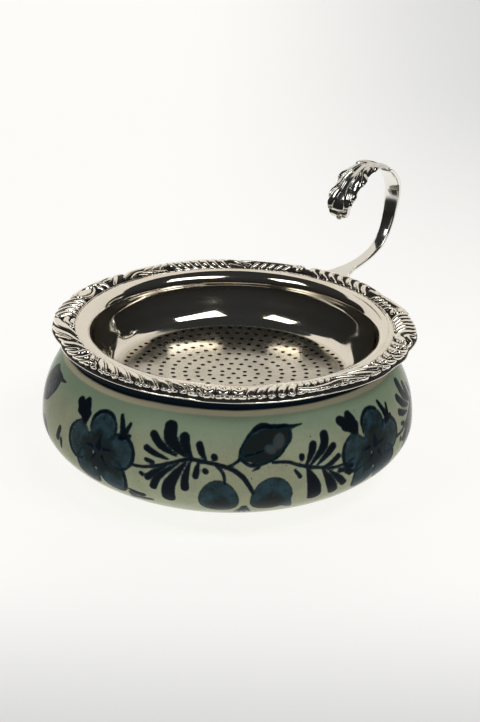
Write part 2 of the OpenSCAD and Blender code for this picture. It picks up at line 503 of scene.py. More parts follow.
def glaze_material(s):
    """Celadon glaze with cobalt brush work under it, a bare beige line and a dark neck."""
    material, n, shader, tree = new_material("celadon_glaze")
    here = place(n)
    xyz = n.parts_of(here)
    z = xyz[2]
    radius = n.math("SQRT", n.squared_radius(xyz))
    cloud = n.noise(here, 55.0, 3.0)
    speck = n.noise(here, 900.0, 2.0)
    grain = n.noise(here, 2600.0, 2.0)
    body = n.mix(n.fit(cloud, 0.36, 0.66), colour(s.glaze), (0.30, 0.305, 0.20, 1))
    body = n.mix(n.fit(grain, 0.3, 0.75, 0.0, 0.35), body, colour(s.glaze, 1.25))
    smoke = n.noise(here, 240.0, 4.0, 0.7)
    body = n.mix(n.fit(smoke, 0.42, 0.70, 0.0, 0.5), body, (0.255, 0.285, 0.20, 1))
    high = n.math("ADD", z, n.sway(cloud, 0.006))
    body = n.mix(n.fit(high, 0.0215, 0.0298, 0.0, 0.75), body, colour(s.glaze_deep))
    pits = n.fit(speck, 0.735, 0.76, 0.0, 0.8)
    body = n.mix(pits, body, (0.03, 0.035, 0.03, 1))
    soft = n.sway(n.noise(here, 1100.0, 3.0), 0.30)
    # washes first, then the loaded strokes over them
    wash_depth = n.value_of("wash")
    wash = n.fit(n.math("ADD", wash_depth, soft), -0.16, 0.20, 0.0, 0.96)
    streak = n.noise(here, 300.0, 5.0, 0.65)
    tone = n.math("ADD", n.value_of("tone"), n.sway(streak, 2.6, 0.41))
    wash_colour = n.mix(n.fit(tone, 0.0, 0.6, kind="LINEAR"),
                        colour(s.wash, 1.75), colour(s.wash, 0.38))
    wash_colour = n.mix(n.fit(tone, 0.55, 1.1), wash_colour, (0.0030, 0.0062, 0.0105, 1))
    rim = n.fit(wash_depth, 0.05, 0.75, 0.45, 0.0)
    wash_colour = n.mix(rim, wash_colour, colour(s.wash, 0.5))
    body = n.mix(wash, body, wash_colour)
    ink_depth = n.value_of("ink")
    ink = n.fit(n.math("ADD", ink_depth, n.math("MULTIPLY", soft, 0.8)), -0.20, 0.14, 0.0, 0.985)
    pool = n.fit(n.math("ADD", ink_depth, n.math("MULTIPLY", soft, 1.9)), 0.0, 0.42)
    ink_colour = n.mix(pool, (0.010, 0.027, 0.037, 1), colour(s.ink))
    body = n.mix(ink, body, ink_colour)
    pale = n.fit(n.value_of("pale"), -0.06, 0.16, 0.0, 0.9)
    body = n.mix(pale, body, (0.19, 0.225, 0.225, 1))
    # shoulder line and neck
    outside = n.fit(radius, 0.0376, 0.0378)
    line_z = n.math("ADD", z, n.sway(cloud, 0.0006))
    line = n.math("MULTIPLY", n.fit(line_z, 0.0300, 0.0305, 0.0, 0.8), outside)
    body = n.mix(line, body, colour(s.line))
    neck = n.math("MULTIPLY", n.fit(line_z, 0.0311, 0.0315), outside)
    body = n.mix(neck, body, (0.004, 0.010, 0.016, 1))
    bare = n.fit(z, 0.0004, 0.0010, 1.0, 0.0)
    body = n.mix(bare, body, n.mix(grain, (0.42, 0.36, 0.28, 1), (0.55, 0.49, 0.40, 1)))
    tree.links.new(body, shader.inputs["Base Color"])
    shine = n.math("ADD", n.fit(grain, 0.2, 0.8, 0.05, 0.11), n.math("MULTIPLY", bare, 0.7))
    shine = n.math("ADD", shine, n.math("MULTIPLY", pits, 0.3))
    tree.links.new(shine, shader.inputs["Roughness"])
    shader.inputs["IOR"].default_value = 1.45
    shader.inputs["Specular IOR Level"].default_value = 0.03
    ripple = n.bump(n.noise(here, 170.0, 2.0), 0.0006, 0.22)
    peel = n.bump(grain, 0.00006, 0.35, ripple)
    stroke = n.bump(n.math("ADD", ink, n.math("MULTIPLY", wash, 0.4)), 0.00004, 0.5, peel)
    tree.links.new(stroke, shader.inputs["Normal"])
    return material


def polished_material(s):
    """Silver plate, buffed round its axis: fine turned lines, haze and faint yellow tarnish."""
    material, n, shader, tree = new_material("polished_silver")
    here = place(n)
    xyz = n.parts_of(here)
    radius = n.math("SQRT", n.squared_radius(xyz))
    lines = n.add("ShaderNodeCombineXYZ", {
        0: n.math("MULTIPLY", radius, 24.0), 1: xyz[0], 2: xyz[1]})
    turned = n.noise(lines, 90.0, 2.0, 0.6)
    haze = n.noise(here, 130.0, 4.0, 0.6)
    stain = n.noise(here, 45.0, 4.0, 0.6)
    fleck = n.noise(here, 1500.0, 2.0)
    body = n.mix(n.fit(stain, 0.45, 0.72, 0.0, 0.65), colour(s.silver), (0.77, 0.69, 0.53, 1))
    body = n.mix(n.fit(fleck, 0.70, 0.74, 0.0, 0.55), body, (0.30, 0.26, 0.19, 1))
    # the perforated bottom is duller than the wall
    sieve = n.fit(radius, 0.0268, 0.0284, 1.0, 0.0)
    body = n.mix(n.math("MULTIPLY", sieve, 0.62), body,
                 n.mix(n.fit(stain, 0.40, 0.62), (0.56, 0.515, 0.41, 1), (0.36, 0.335, 0.27, 1)))
    tree.links.new(body, shader.inputs["Base Color"])
    shader.inputs["Metallic"].default_value = 1.0
    rough = n.math("ADD", n.fit(haze, 0.35, 0.7, 0.045, 0.10), n.fit(turned, 0.5, 0.8, 0.0, 0.05))
    rough = n.math("ADD", rough, n.math("MULTIPLY", sieve, 0.075))
    tree.links.new(rough, shader.inputs["Roughness"])
    wave = n.bump(n.noise(here, 75.0, 2.0), 0.0010, 0.10)
    fine = n.bump(turned, 0.000012, 0.18, wave)
    tree.links.new(fine, shader.inputs["Normal"])
    return material


def cast_material(s):
    """Cast silver: bright worn crests, black-brown patina down in the chasing, and the same dark
    colour as painted dark reflection where the crest value is set low on the border's upright
    edge, the leaf's tip and its beads.
    """
    material, n, shader, tree = new_material("cast_silver")
    here = place(n)
    grain = n.noise(here, 1800.0, 4.0, 0.65)
    height = n.math("ADD", n.value_of("crest"), n.sway(n.noise(here, 350.0, 3.0), 0.16))
    clean = n.fit(height, 0.28, 0.50)
    half = n.mix(n.fit(height, 0.38, 0.66), (0.56, 0.50, 0.38, 1), colour(s.silver))
    body = n.mix(clean, colour(s.patina_and_dark_reflection), half)
    tree.links.new(body, shader.inputs["Base Color"])
    tree.links.new(n.fit(clean, 0.0, 1.0, 0.25, 1.0), shader.inputs["Metallic"])
    rough = n.math("ADD", n.fit(clean, 0.0, 1.0, 0.55, 0.13), n.sway(grain, 0.12))
    tree.links.new(rough, shader.inputs["Roughness"])
    tree.links.new(n.bump(grain, 0.00005, 0.35), shader.inputs["Normal"])
    return material


# ---------------------------------------------------------------- the painted drip bowl

def bowl_profile(s):
    """Outer wall from the foot to the shoulder: (radius, height) in mm, an even step apart."""
    R, bz, drop = s.radius / MM, s.belly_z / MM, s.belly_drop / MM
    low = [(R * math.sqrt(max(0.02, 1 - ((bz - z) / drop) ** 2)), z)
           for z in np.linspace(1.1, bz, 60)]
    up = []
    for t in np.linspace(0, 1, 61)[1:]:
        q = math.sin(math.pi / 2 * t)
        up.append((R - (R - s.shoulder_r / MM) * q ** 2.2, bz + (s.shoulder_z / MM - bz) * q))
    return walk(np.array(low + up), 0.42)


def jitter(rng, points, amount):
    """The stroke as a hand repeats it: a little out of place, a little thicker or thinner."""
    p = np.asarray(points, float).copy()
    p[:, 0] += rng.uniform(-amount, amount) * 0.8
    p[:, 1] += rng.uniform(-amount, amount) * 0.5
    p[:, 2] *= rng.uniform(0.93, 1.08)
    return p


def paint_flower(f, a, rng):
    """Five washed petals round a dark eye with pale dots; a is the flower's place in degrees."""
    petals = [((a + 0.6, 31.6), (3.8, 3.7), 0), ((a + 8.0, 27.2), (3.7, 4.0), 10),
              ((a - 8.6, 26.6), (3.6, 4.3), -8), ((a - 4.4, 20.8), (3.4, 4.6), 12),
              ((a + 5.6, 20.6), (3.5, 4.6), -14)]
    for c, size, turn in petals:
        f.oval("wash", c, size, turn)
        f.oval("tone", (c[0] * 0.5 + (a - 0.3) * 0.5, c[1] * 0.5 + 26.0 * 0.5),
               (2.9, 2.9), shape=lambda d: np.clip(d / 2.0, 0, 1) * 0.75)
        away = math.degrees(math.atan2(c[1] - 26.6, (c[0] - a) * 0.77))
        ring = []
        for t in np.linspace(-150, 150, 21):
            b = math.radians(away + t)
            wide = 0.50 if abs(t - 25) < 60 else 0.32 if abs(t) < 110 else 0.2
            ring.append((c[0] + size[0] * 1.03 * math.cos(b) / 0.77,
                         c[1] + size[1] * 1.03 * math.sin(b), wide))
        f.stroke("ink", ring, smooth=2)
        inner = [(c[0] + (x - c[0]) * 0.82, c[1] + (y - c[1]) * 0.82, 0.11)
                 for x, y, _ in ring[5:16]]
        f.stroke("pale", inner, smooth=2)
        f.stroke("ink", [(a + (c[0] - a) * 0.30, 26.6 + (c[1] - 26.6) * 0.30, 0.75),
                         (a + (c[0] - a) * 0.68, 26.6 + (c[1] - 26.6) * 0.68, 0.28)])
    f.oval("wash", (a - 0.6, 25.0), (5.2, 5.6))
    f.oval("tone", (a - 0.8, 25.2), (3.6, 4.4), shape=lambda d: np.clip(d / 1.6, 0, 1.1))
    f.oval("ink", (a + 0.2, 27.0), (1.2, 1.3), 15)
    f.oval("pale", (a - 1.8, 25.2), (0.32, 0.52))
    f.oval("pale", (a - 0.7, 21.4), (0.46, 0.42))
    # sprigs beside the top petal
    for pts in ([(a - 7.8, 31.4, 0.6), (a - 10.0, 33.5, 1.35), (a - 12.4, 35.0, 1.15)],
                [(a - 7.4, 31.6, 0.6), (a - 8.2, 34.0, 1.3), (a - 9.0, 35.9, 0.95)],
                [(a - 7.0, 31.4, 0.7), (a - 6.6, 33.2, 0.85)], [(a - 11.4, 33.2, 0.8),
                                                                (a - 10.6, 32.9, 0.8)],
                [(a + 8.6, 30.8, 0.8), (a + 7.7, 33.4, 0.74), (a + 6.5, 35.7, 0.50)],
                [(a + 8.8, 31.0, 0.75), (a + 10.2, 34.2, 0.44)],
                [(a + 7.6, 30.6, 0.8), (a + 10.8, 31.4, 0.52)]):
        f.stroke("ink", jitter(rng, pts, 0.25))
    # a small dark leaf at its foot
    for pts in ([(a + 11.2, 17.8, 0.5), (a + 13.8, 16.6, 1.15), (a + 15.6, 16.9, 0.7)],
                [(a + 10.6, 16.4, 0.5), (a + 12.6, 14.4, 0.9), (a + 17.4, 15.0, 0.75)],
                [(a + 10.2, 16.6, 0.4), (a + 10.0, 13.8, 0.8)]):
        f.stroke("ink", jitter(rng, pts, 0.3))


def paint_fern(f, a, rng):
    """Spray of comma strokes above and below an arching stem; a is the flower before it."""
    strokes = [
        [(17.0, 30.0, 0.85), (20.0, 29.0, 0.75), (24.2, 28.2, 0.25)],
        [(18.8, 33.2, 1.05), (21.6, 31.0, 1.0), (26.6, 29.2, 0.35)],
        [(23.8, 35.7, 1.50), (24.6, 32.6, 1.45), (29.6, 29.4, 0.4)],
        [(28.6, 33.7, 1.15), (29.2, 31.8, 1.05), (31.2, 29.2, 0.4)],
        [(33.2, 32.2, 0.85), (33.9, 30.6, 0.8), (35.2, 29.0, 0.35)],
        [(37.6, 29.8, 0.78), (37.9, 29.5, 0.72)],
        [(17.2, 27.2, 0.55), (19.4, 26.8, 0.55)],
        [(15.8, 23.8, 0.58), (16.3, 23.6, 0.55)],
        [(18.0, 23.2, 0.85), (20.4, 24.8, 0.7), (24.0, 26.9, 0.25)],
        [(19.7, 20.8, 0.95), (21.6, 23.8, 0.85), (27.2, 27.4, 0.28)],
        [(24.0, 18.0, 1.60), (24.8, 22.4, 1.45), (29.4, 27.9, 0.35)],
        [(29.5, 21.8, 1.05), (29.6, 24.6, 0.9), (30.8, 28.2, 0.3)],
        [(32.5, 25.0, 0.72), (32.8, 26.6, 0.65), (33.2, 28.2, 0.3)],
        [(35.3, 26.3, 0.75), (35.6, 26.1, 0.7)],
    ]
    for pts in strokes:
        f.stroke("ink", jitter(rng, [(a + x, y, r) for x, y, r in pts], 0.22))
    f.stroke("ink", [(a + x, y, r) for x, y, r in
                     ((12.6, 25.2, 0.38), (17.5, 25.5, 0.42), (24, 27.1, 0.44), (30, 28.7, 0.52),
                      (34, 28.5, 0.52), (39, 27.9, 0.5), (43, 26.9, 0.58), (46, 25.2, 0.62),
                      (48, 22.9, 0.56), (49.4, 20.8, 0.45))])
    f.stroke("ink", [(a + 38.0, 28.0, 0.4), (a + 40.4, 26.0, 0.42), (a + 41.0, 23.4, 0.36)])


def paint_leaves(f, a):
    """Two round leaves low on the bowl with a tuft of grass between, and the big bud above."""
    for c, size, turn, tone in (((39.2, 18.6), (4.7, 5.7), 4, 0.55),
                                ((55.0, 19.1), (5.0, 5.7), -6, 0.5)):
        f.oval("wash", (a + c[0], c[1]), size, turn)
        f.oval("tone", (a + c[0], c[1] - 2.4), (size[0] * 0.95, size[1] * 0.8),
               turn, lambda d: np.clip(d / 3.0, 0, 1) * tone)
    f.stroke("wash", [(a + 58.5, 17.5, 2.4), (a + 62.4, 13.6, 0.5)])
    for x0, x1, y1 in ((46.6, 44.2, 10.4), (46.9, 45.8, 9.4), (47.2, 47.8, 9.6),
                       (47.6, 49.8, 10.6)):
        f.stroke("ink", [(a + x0, 16.0, 0.22), (a + (x0 + x1) / 2, 12.8, 0.42), (a + x1, y1, 0.2)])
    # bud: a pointed leaf in dark violet blue with a curled tip
    for pts in ([(46.0, 29.4, 0.9), (49.0, 31.2, 2.6), (53.5, 32.9, 3.9), (58.0, 34.0, 2.7),
                 (60.6, 35.6, 0.8), (64.4, 36.0, 0.18)],
                [(48.6, 30.0, 1.6), (52.0, 30.6, 2.6), (56.0, 31.8, 2.4), (59.0, 34.0, 1.4)]):
        f.stroke("wash", [(a + x, y, r) for x, y, r in pts])
    f.stroke("tone", [(a + 46.5, 29.6, 1.6), (a + 52.0, 31.4, 3.6), (a + 58.6, 34.2, 2.0)],
             shape=lambda d: np.clip(d / 0.8 + 0.6, 0, 1) * 1.25)
    for x, y, wide, high in ((57.2, 32.9, 1.5, 2.1), (54.4, 31.2, 1.6, 1.2)):
        f.oval("pale", (a + x, y), (wide, high), -20,
               lambda d: np.clip(d / 9.0 - 0.035, -3, 0.01))
    for pts in ([(45.2, 29.2, 0.35), (45.6, 31.4, 0.38), (48.4, 34.8, 0.45), (52.0, 36.6, 0.8),
                 (56.0, 36.2, 0.6), (59.6, 36.2, 0.6), (62.0, 36.0, 0.4), (65.2, 36.2, 0.2)],
                [(45.4, 29.4, 0.4), (48.4, 27.8, 0.5), (52.6, 28.2, 0.42), (56.8, 29.6, 0.38),
                 (59.6, 32.2, 0.34), (60.8, 34.8, 0.3)],
                [(49.4, 28.0, 0.5), (50.8, 27.4, 0.45), (48.8, 26.4, 0.12)],
                [(46.6, 30.0, 0.5), (50.6, 30.6, 0.42), (54.6, 32.0, 0.34), (58.4, 34.0, 0.24)],
                [(45.6, 29.4, 0.42), (43.6, 28.2, 0.36), (41.2, 27.4, 0.3)]):
        f.stroke("ink", [(a + x, y, r) for x, y, r in pts])


def paint_second_fern(f, a, rng):
    """Smaller spray on the stem that leads on to the next flower."""
    strokes = [
        [(63.8, 28.8, 0.80), (63.9, 28.4, 0.75)],
        [(67.8, 31.0, 0.92), (67.0, 29.2, 0.85), (65.2, 26.7, 0.3)],
        [(72.1, 32.9, 1.20), (71.4, 30.4, 1.1), (66.6, 26.6, 0.35)],
        [(74.6, 29.8, 0.95), (72.4, 28.4, 0.85), (68.6, 26.2, 0.3)],
        [(76.0, 27.1, 0.75), (73.6, 26.0, 0.65), (71.4, 25.6, 0.3)],
        [(61.7, 25.9, 0.35), (63.3, 24.2, 0.62)],
        [(69.2, 17.8, 1.75), (67.9, 21.6, 1.65), (65.7, 25.8, 0.35)],
        [(75.7, 18.0, 1.20), (73.5, 21.2, 1.15), (70.6, 24.9, 0.3)],
        [(79.0, 19.8, 0.95), (76.6, 21.8, 0.9), (72.8, 24.4, 0.25)],
        [(80.8, 22.2, 0.72), (79.4, 22.8, 0.65)],
        [(81.2, 23.9, 0.62), (79.6, 24.3, 0.55)],
        [(76.6, 23.6, 0.55), (78.2, 23.4, 0.6)],
    ]
    for pts in strokes:
        f.stroke("ink", jitter(rng, [(a + x, y, r) for x, y, r in pts], 0.22))
    f.stroke("ink", [(a + x, y, r) for x, y, r in
                     ((55.0, 28.2, 0.38), (59.4, 28.0, 0.42), (63.0, 26.9, 0.44),
                      (66.4, 26.1, 0.46),
                      (71.4, 25.2, 0.42), (75.4, 24.7, 0.4), (79.4, 25.0, 0.36),
                      (82.0, 25.5, 0.3))])


def paint_sprig(f, a):
    """Two short strokes that close the round where it began."""
    for pts in ([(-21.0, 23.6, 0.9), (-19.6, 26.2, 0.75)], [(-18.6, 23.6, 0.7),
                                                            (-18.4, 21.8, 0.5)]):
        f.stroke("ink", [(a + x, y, r) for x, y, r in pts])


FLOWERS = (229.0, 320.5, 409.5, 498.5)      # where round the bowl each flower is, in degrees
BARE_GLAZE = {"ink": -3.0, "wash": -3.0, "pale": -3.0, "tone": 0.0}


def build_drip_bowl(s):
    """The thrown bowl from its foot over the mouth to the middle of its inside, then its paint."""
    columns = 640
    outer = bowl_profile(s)
    rs, zs = s.shoulder_r / MM, s.shoulder_z / MM
    mr, mz = s.mouth_r / MM, s.mouth_z / MM
    neck = walk(spline([(rs - 0.10, zs + 0.16), (rs - 0.42, zs + 0.40), (rs - 0.55, zs + 0.9),
                        (rs - 0.55, mz - 1.6), (rs - 0.72, mz - 0.7), (rs - 1.15, mz - 0.16),
                        (38.2, mz), (mr + 0.6, mz - 0.12), (mr + 0.12, mz - 0.6),
                        (mr, mz - 1.4), (mr, zs + 1.2)], 4), 0.62)
    inside = walk(spline([(mr + 0.15, zs + 0.4), (39.0, 27.2), (40.7, 22.4), (41.3, 17.2),
                          (40.4, 12.6), (37.6, 9.0), (32.6, 6.6), (25.0, 5.6), (14.0, 5.25),
                          (5.0, 5.2)], 5), 1.9)
    foot = np.array([(6.0, 2.45), (16.0, 2.3), (22.4, 2.0), (23.4, 1.4), (23.85, 0.5),
                     (24.3, 0.03), (25.2, 0.0), (26.6, 0.0), (27.15, 0.16), (27.5, 0.5),
                     (27.9, 0.86)])
    profile = np.vstack([foot, outer, neck, inside])
    rows = len(profile)
    middles = [[0, 0, 2.45 * MM], [0, 0, 5.2 * MM]]
    verts = np.vstack([turned_points(profile, columns) * MM, middles])
    faces = [tuple(q) for q in grid_faces(rows, columns)]
    below, top = rows * columns, (rows - 1) * columns
    for c in range(columns):
        d = (c + 1) % columns
        faces += [(below, d, c), (below + 1, top + c, top + d)]
    piece = new_piece("glazed_drip_bowl", verts, faces)

    # the painting: four flowers round the bowl with sprays, leaves and buds between
    first, count = len(foot), len(outer)
    field = Field(columns, lengths_along(outer), outer[:, 0])
    for name, start in BARE_GLAZE.items():
        field.layer(name, start)
    rng = np.random.default_rng(7)
    for a in FLOWERS:
        paint_flower(field, a, rng)
        paint_fern(field, a, rng)
        paint_leaves(field, a)
        if a == FLOWERS[-1]:
            paint_sprig(field, FLOWERS[0])
        else:
            paint_second_fern(field, a, rng)
    for name, start in BARE_GLAZE.items():
        whole = np.full((rows, columns), start)
        whole[first:first + count] = field.values[name]
        add_point_values(piece, name, np.r_[whole.ravel(), start, start])
    finish_piece(piece, "drip_bowl", glaze_material(s), "glaze", "drip_bowl")


# ---------------------------------------------------------------- the strainer's pressed bowl

def lip_point(s, degrees):
    """A point on the rolled lip, (radius, height) in metres from the lip's top."""
    a = math.radians(degrees)
    return (s.open_r + s.lip_r + s.lip_r * math.cos(a), -s.lip_r + s.lip_r * math.sin(a))


def new_tree(name, inputs):
    """A geometry tree with the inputs (label, kind, default). Gives the tree, its node helper,
    the inputs as sockets inside it, and the name that a modifier knows each input by."""
    tree = bpy.data.node_groups.new(name, "GeometryNodeTree")
    face = tree.interface
    face.new_socket("Geometry", in_out="OUTPUT", socket_type="NodeSocketGeometry")
    sockets = {}
    for label, kind, default in inputs:
        socket = face.new_socket(label, in_out="INPUT", socket_type="NodeSocket" + kind)
        if default is not None:
            socket.default_value = default
        sockets[label] = socket.identifier
    return tree, Nodes(tree), tree.nodes.new("NodeGroupInput").outputs, sockets


def close_tree(n, geometry, material):
    """Ends a tree: its instances made real, its material set."""
    real = n.add("GeometryNodeRealizeInstances", {"Geometry": geometry})
    dressed = n.add("GeometryNodeSetMaterial", {"Geometry": real, "Material": material})
    n.tree.links.new(dressed, n.tree.nodes.new("NodeGroupOutput").inputs[0])


def dome_tree():
    """Round sheet with rings of punched holes, pressed into a shallow dome."""
    tree, n, given, sockets = new_tree("punched_dome", (
        ("Radius", "Float", 0.0276), ("Rings", "Int", 9), ("Ring pitch", "Float", 0.00295),
        ("Hole", "Float", 0.00105), ("Holes per ring step", "Float", 7.6),
        ("Sheet", "Float", 0.0006), ("Depth", "Float", 0.0158), ("Dome radius", "Float", 0.178),
        ("Edge points", "Int", 256), ("Material", "Material", None)))
    start = tree.nodes.new("GeometryNodeRepeatInput")
    end = tree.nodes.new("GeometryNodeRepeatOutput")
    start.pair_with_output(end)
    tree.links.new(given["Rings"], start.inputs["Iterations"])
    middle = n.add("GeometryNodeMeshLine", {"Count": 1})
    tree.links.new(middle, start.inputs["Geometry"])
    ring = n.math("ADD", start.outputs["Iteration"], 1.0)
    count = n.math("ROUND", n.math("MULTIPLY", ring, given["Holes per ring step"]))
    circle = n.add("GeometryNodeMeshCircle", {
        "Vertices": count, "Radius": n.math("MULTIPLY", ring, given["Ring pitch"])})
    stagger = n.math("DIVIDE", n.math("MULTIPLY", n.math("MODULO", ring, 2.0), math.pi), count)
    turned = n.add("GeometryNodeTransform", {
        "Geometry": circle, "Rotation": n.add("ShaderNodeCombineXYZ", {2: stagger})})
    tree.links.new(n.join(turned, start.outputs["Geometry"]), end.inputs["Geometry"])
    points = n.add("GeometryNodeMeshToPoints", {"Mesh": end.outputs["Geometry"]})
    hole = n.add("GeometryNodeCurvePrimitiveCircle", {
        "Resolution": 14, "Radius": n.math("MULTIPLY", given["Hole"], 0.5)})
    holes = n.add("GeometryNodeInstanceOnPoints", {"Points": points, "Instance": hole})
    holes = n.add("GeometryNodeRealizeInstances", {"Geometry": holes})
    rim = n.add("GeometryNodeCurvePrimitiveCircle", {
        "Resolution": given["Edge points"], "Radius": given["Radius"]})
    filled = n.add("GeometryNodeFillCurve", {"Curve": n.join(rim, holes)}, mode="TRIANGLES")
    # press it into the dome
    r2 = n.squared_radius(n.parts_of(n.add("GeometryNodeInputPosition")))
    dome = given["Dome radius"]
    rise = n.math("SUBTRACT", dome, n.math("SQRT", n.math(
        "SUBTRACT", n.math("MULTIPLY", dome, dome), r2)))
    lift = n.math("SUBTRACT", rise, given["Depth"])
    pressed = n.add("GeometryNodeSetPosition", {
        "Geometry": filled, "Offset": n.add("ShaderNodeCombineXYZ", {2: lift})})
    under = n.add("GeometryNodeFlipFaces", {"Mesh": pressed})
    down = n.add("ShaderNodeCombineXYZ", {
        2: n.math("MULTIPLY", given["Sheet"], -1.0)})
    thick = n.add("GeometryNodeExtrudeMesh", {
        "Mesh": under, "Offset": down, "Individual": False}, mode="FACES")
    merged = n.add("GeometryNodeMergeByDistance", {
        "Geometry": n.join(pressed, thick), "Distance": 0.000002})
    close_tree(n, merged, given["Material"])
    return tree, sockets


def grown_mesh(name, tree, sockets, values):
    """Runs a node tree on an empty mesh and hands back its result as a plain mesh."""
    carrier = link_object(name + "_grow", bpy.data.meshes.new(name + "_grow"))
    modifier = carrier.modifiers.new("grow", "NODES")
    modifier.node_group = tree
    for label, value in values.items():
        modifier[sockets[label]] = value
    bpy.context.view_layer.update()
    graph = bpy.context.evaluated_depsgraph_get()
    mesh = bpy.data.meshes.new_from_object(carrier.evaluated_get(graph))
    mesh.name = name
    carrier.modifiers.remove(modifier)
    bpy.data.objects.remove(carrier)
    if not len(mesh.polygons):
        raise RuntimeError(f"{name}: the node tree made no faces")
    return mesh


FLANGE_EDGE = 0.0419                        # outer radius of the flange under the border
FLANGE_FALL = math.tan(math.radians(23))
LIP_END = 67                                # degrees of the lip's roll at which the flange begins


def build_strainer_bowl(s):
    """The domed sieve from its node tree, welded to a turned wall, lip and flange."""
    edge = 256
    material = polished_material(s)
    tree, sockets = dome_tree()
    depth = s.sieve_z + s.sag
    sag_radius = 0.028
    dome = (sag_radius * sag_radius + s.sag * s.sag) / (2 * s.sag)
    mesh = grown_mesh("strainer_sheet", tree, sockets, {
        "Radius": s.sieve_r, "Rings": s.rings, "Ring pitch": s.pitch, "Hole": s.hole,
        "Sheet": s.sheet, "Depth": depth, "Dome radius": dome, "Edge points": edge,
        "Material": material})
    rim_z = dome - math.sqrt(dome * dome - s.sieve_r ** 2) - depth

    # wall, lip and flange: turned round the dome's edge
    low = -s.sieve_z
    top = [(s.sieve_r, rim_z), (0.0285, low + 0.0004), (0.0297, low + 0.0011),
           (0.0308, low + 0.0024), (0.0319, -0.0076), (0.0328, -0.0061), (0.0336, -0.0045),
           lip_point(s, 180)]
    top = list(spline(top, 5))[:-1] + [lip_point(s, d) for d in np.linspace(180, LIP_END, 30)]
    end_r, end_z = lip_point(s, LIP_END)
    for r, dip in ((FLANGE_EDGE - 0.0003, 0.0), (FLANGE_EDGE, 0.00008)):
        top.append((r, end_z - (r - end_r) * FLANGE_FALL - dip))
    top = np.array(top)
    _, normal = frames_along(top)
    below = top - normal * s.sheet
    below[0] = (s.sieve_r, rim_z - s.sheet)
    loop = np.vstack([top, below[::-1]])
    verts = turned_points(loop, edge)
    wall = bpy.data.meshes.new("wall")
    quads = grid_faces(len(loop), edge)
    wall.from_pydata([tuple(v) for v in verts], [], [tuple(q) for q in quads])

    work = bmesh.new()
    work.from_mesh(mesh)
    outer = [f for f in work.faces
             if all(math.hypot(v.co.x, v.co.y) > s.sieve_r - 1e-6 for v in f.verts)]
    bmesh.ops.delete(work, geom=outer, context="FACES_ONLY")
    work.from_mesh(wall)
    bmesh.ops.remove_doubles(work, verts=work.verts, dist=0.000004)
    bmesh.ops.recalc_face_normals(work, faces=work.faces)
    bmesh.ops.delete(work, geom=[e for e in work.edges if e.is_wire], context="EDGES")
    for f in work.faces:
        f.smooth = True
    work.to_mesh(mesh)
    work.free()
    bpy.data.meshes.remove(wall)
    # the sheet is smooth everywhere but at the edge of each hole
    face_normal = read_values(mesh.polygons, "normal", 3)
    totals = read_values(mesh.polygons, "loop_total", kind=int)
    corner = read_values(mesh.loops, "vertex_index", kind=int)
    own = face_normal[np.repeat(np.arange(len(totals)), totals)]
    p = read_values(mesh.vertices, "co", 3)[corner]
    radial = np.hypot(p[:, 0], p[:, 1])
    level = own[:, 2]
    normals = np.array([v.normal for v in mesh.vertices])[corner]
    domed = (radial < s.sieve_r + 1e-5) & (np.abs(level) > 0.7)
    up = np.stack([-p[:, 0], -p[:, 1], np.sqrt(np.maximum(dome ** 2 - radial ** 2, 0))], 1) / dome
    normals[domed] = (up * np.sign(level)[:, None])[domed]
    side = (radial < s.sieve_r - 1e-4) & (np.abs(level) <= 0.7)
    normals[side] = own[side]
    mesh.normals_split_custom_set([tuple(v) for v in normals])
    piece = link_object("strainer_sheet", mesh)
    mesh.transform(seat_matrix())
    finish_piece(piece, "strainer", material, "polished_silver", "strainer_bowl")


# ---------------------------------------------------------------- the cast border

# the border's outer edge, (degrees, radius in mm), going round
OUTLINE = [(0, 43.7), (8, 43.3), (14, 43.3), (21, 42.8), (28, 42.0), (33, 42.5), (38, 43.0),
           (46, 43.3), (60, 43.1), (67, 42.9), (74, 42.1), (81, 41.8), (88, 42.2), (94, 43.0),
           (105, 43.3), (120, 43.0), (128, 42.6), (140, 43.0), (152, 43.3), (165, 43.4),
           (176, 43.7), (186, 43.6), (193, 43.0), (197, 42.5), (201, 42.9), (206, 43.1),
           (216, 43.0), (232, 43.1), (246, 43.1), (254, 42.9), (257.5, 42.9), (260, 43.4),
           (270, 43.5), (282, 43.4), (289, 43.3), (297, 42.9), (303, 42.9), (309, 43.2),
           (322, 43.3), (331, 42.8), (338, 43.3), (344, 42.7), (349, 43.3), (354, 43.7),
           (360, 43.7)]


def edge_shift(degrees):
    """How far the border's edge is drawn out or in, in mm."""
    knots = np.array(OUTLINE, float)
    return np.interp(degrees, knots[:, 0], knots[:, 1]) - BORDER_RADIUS


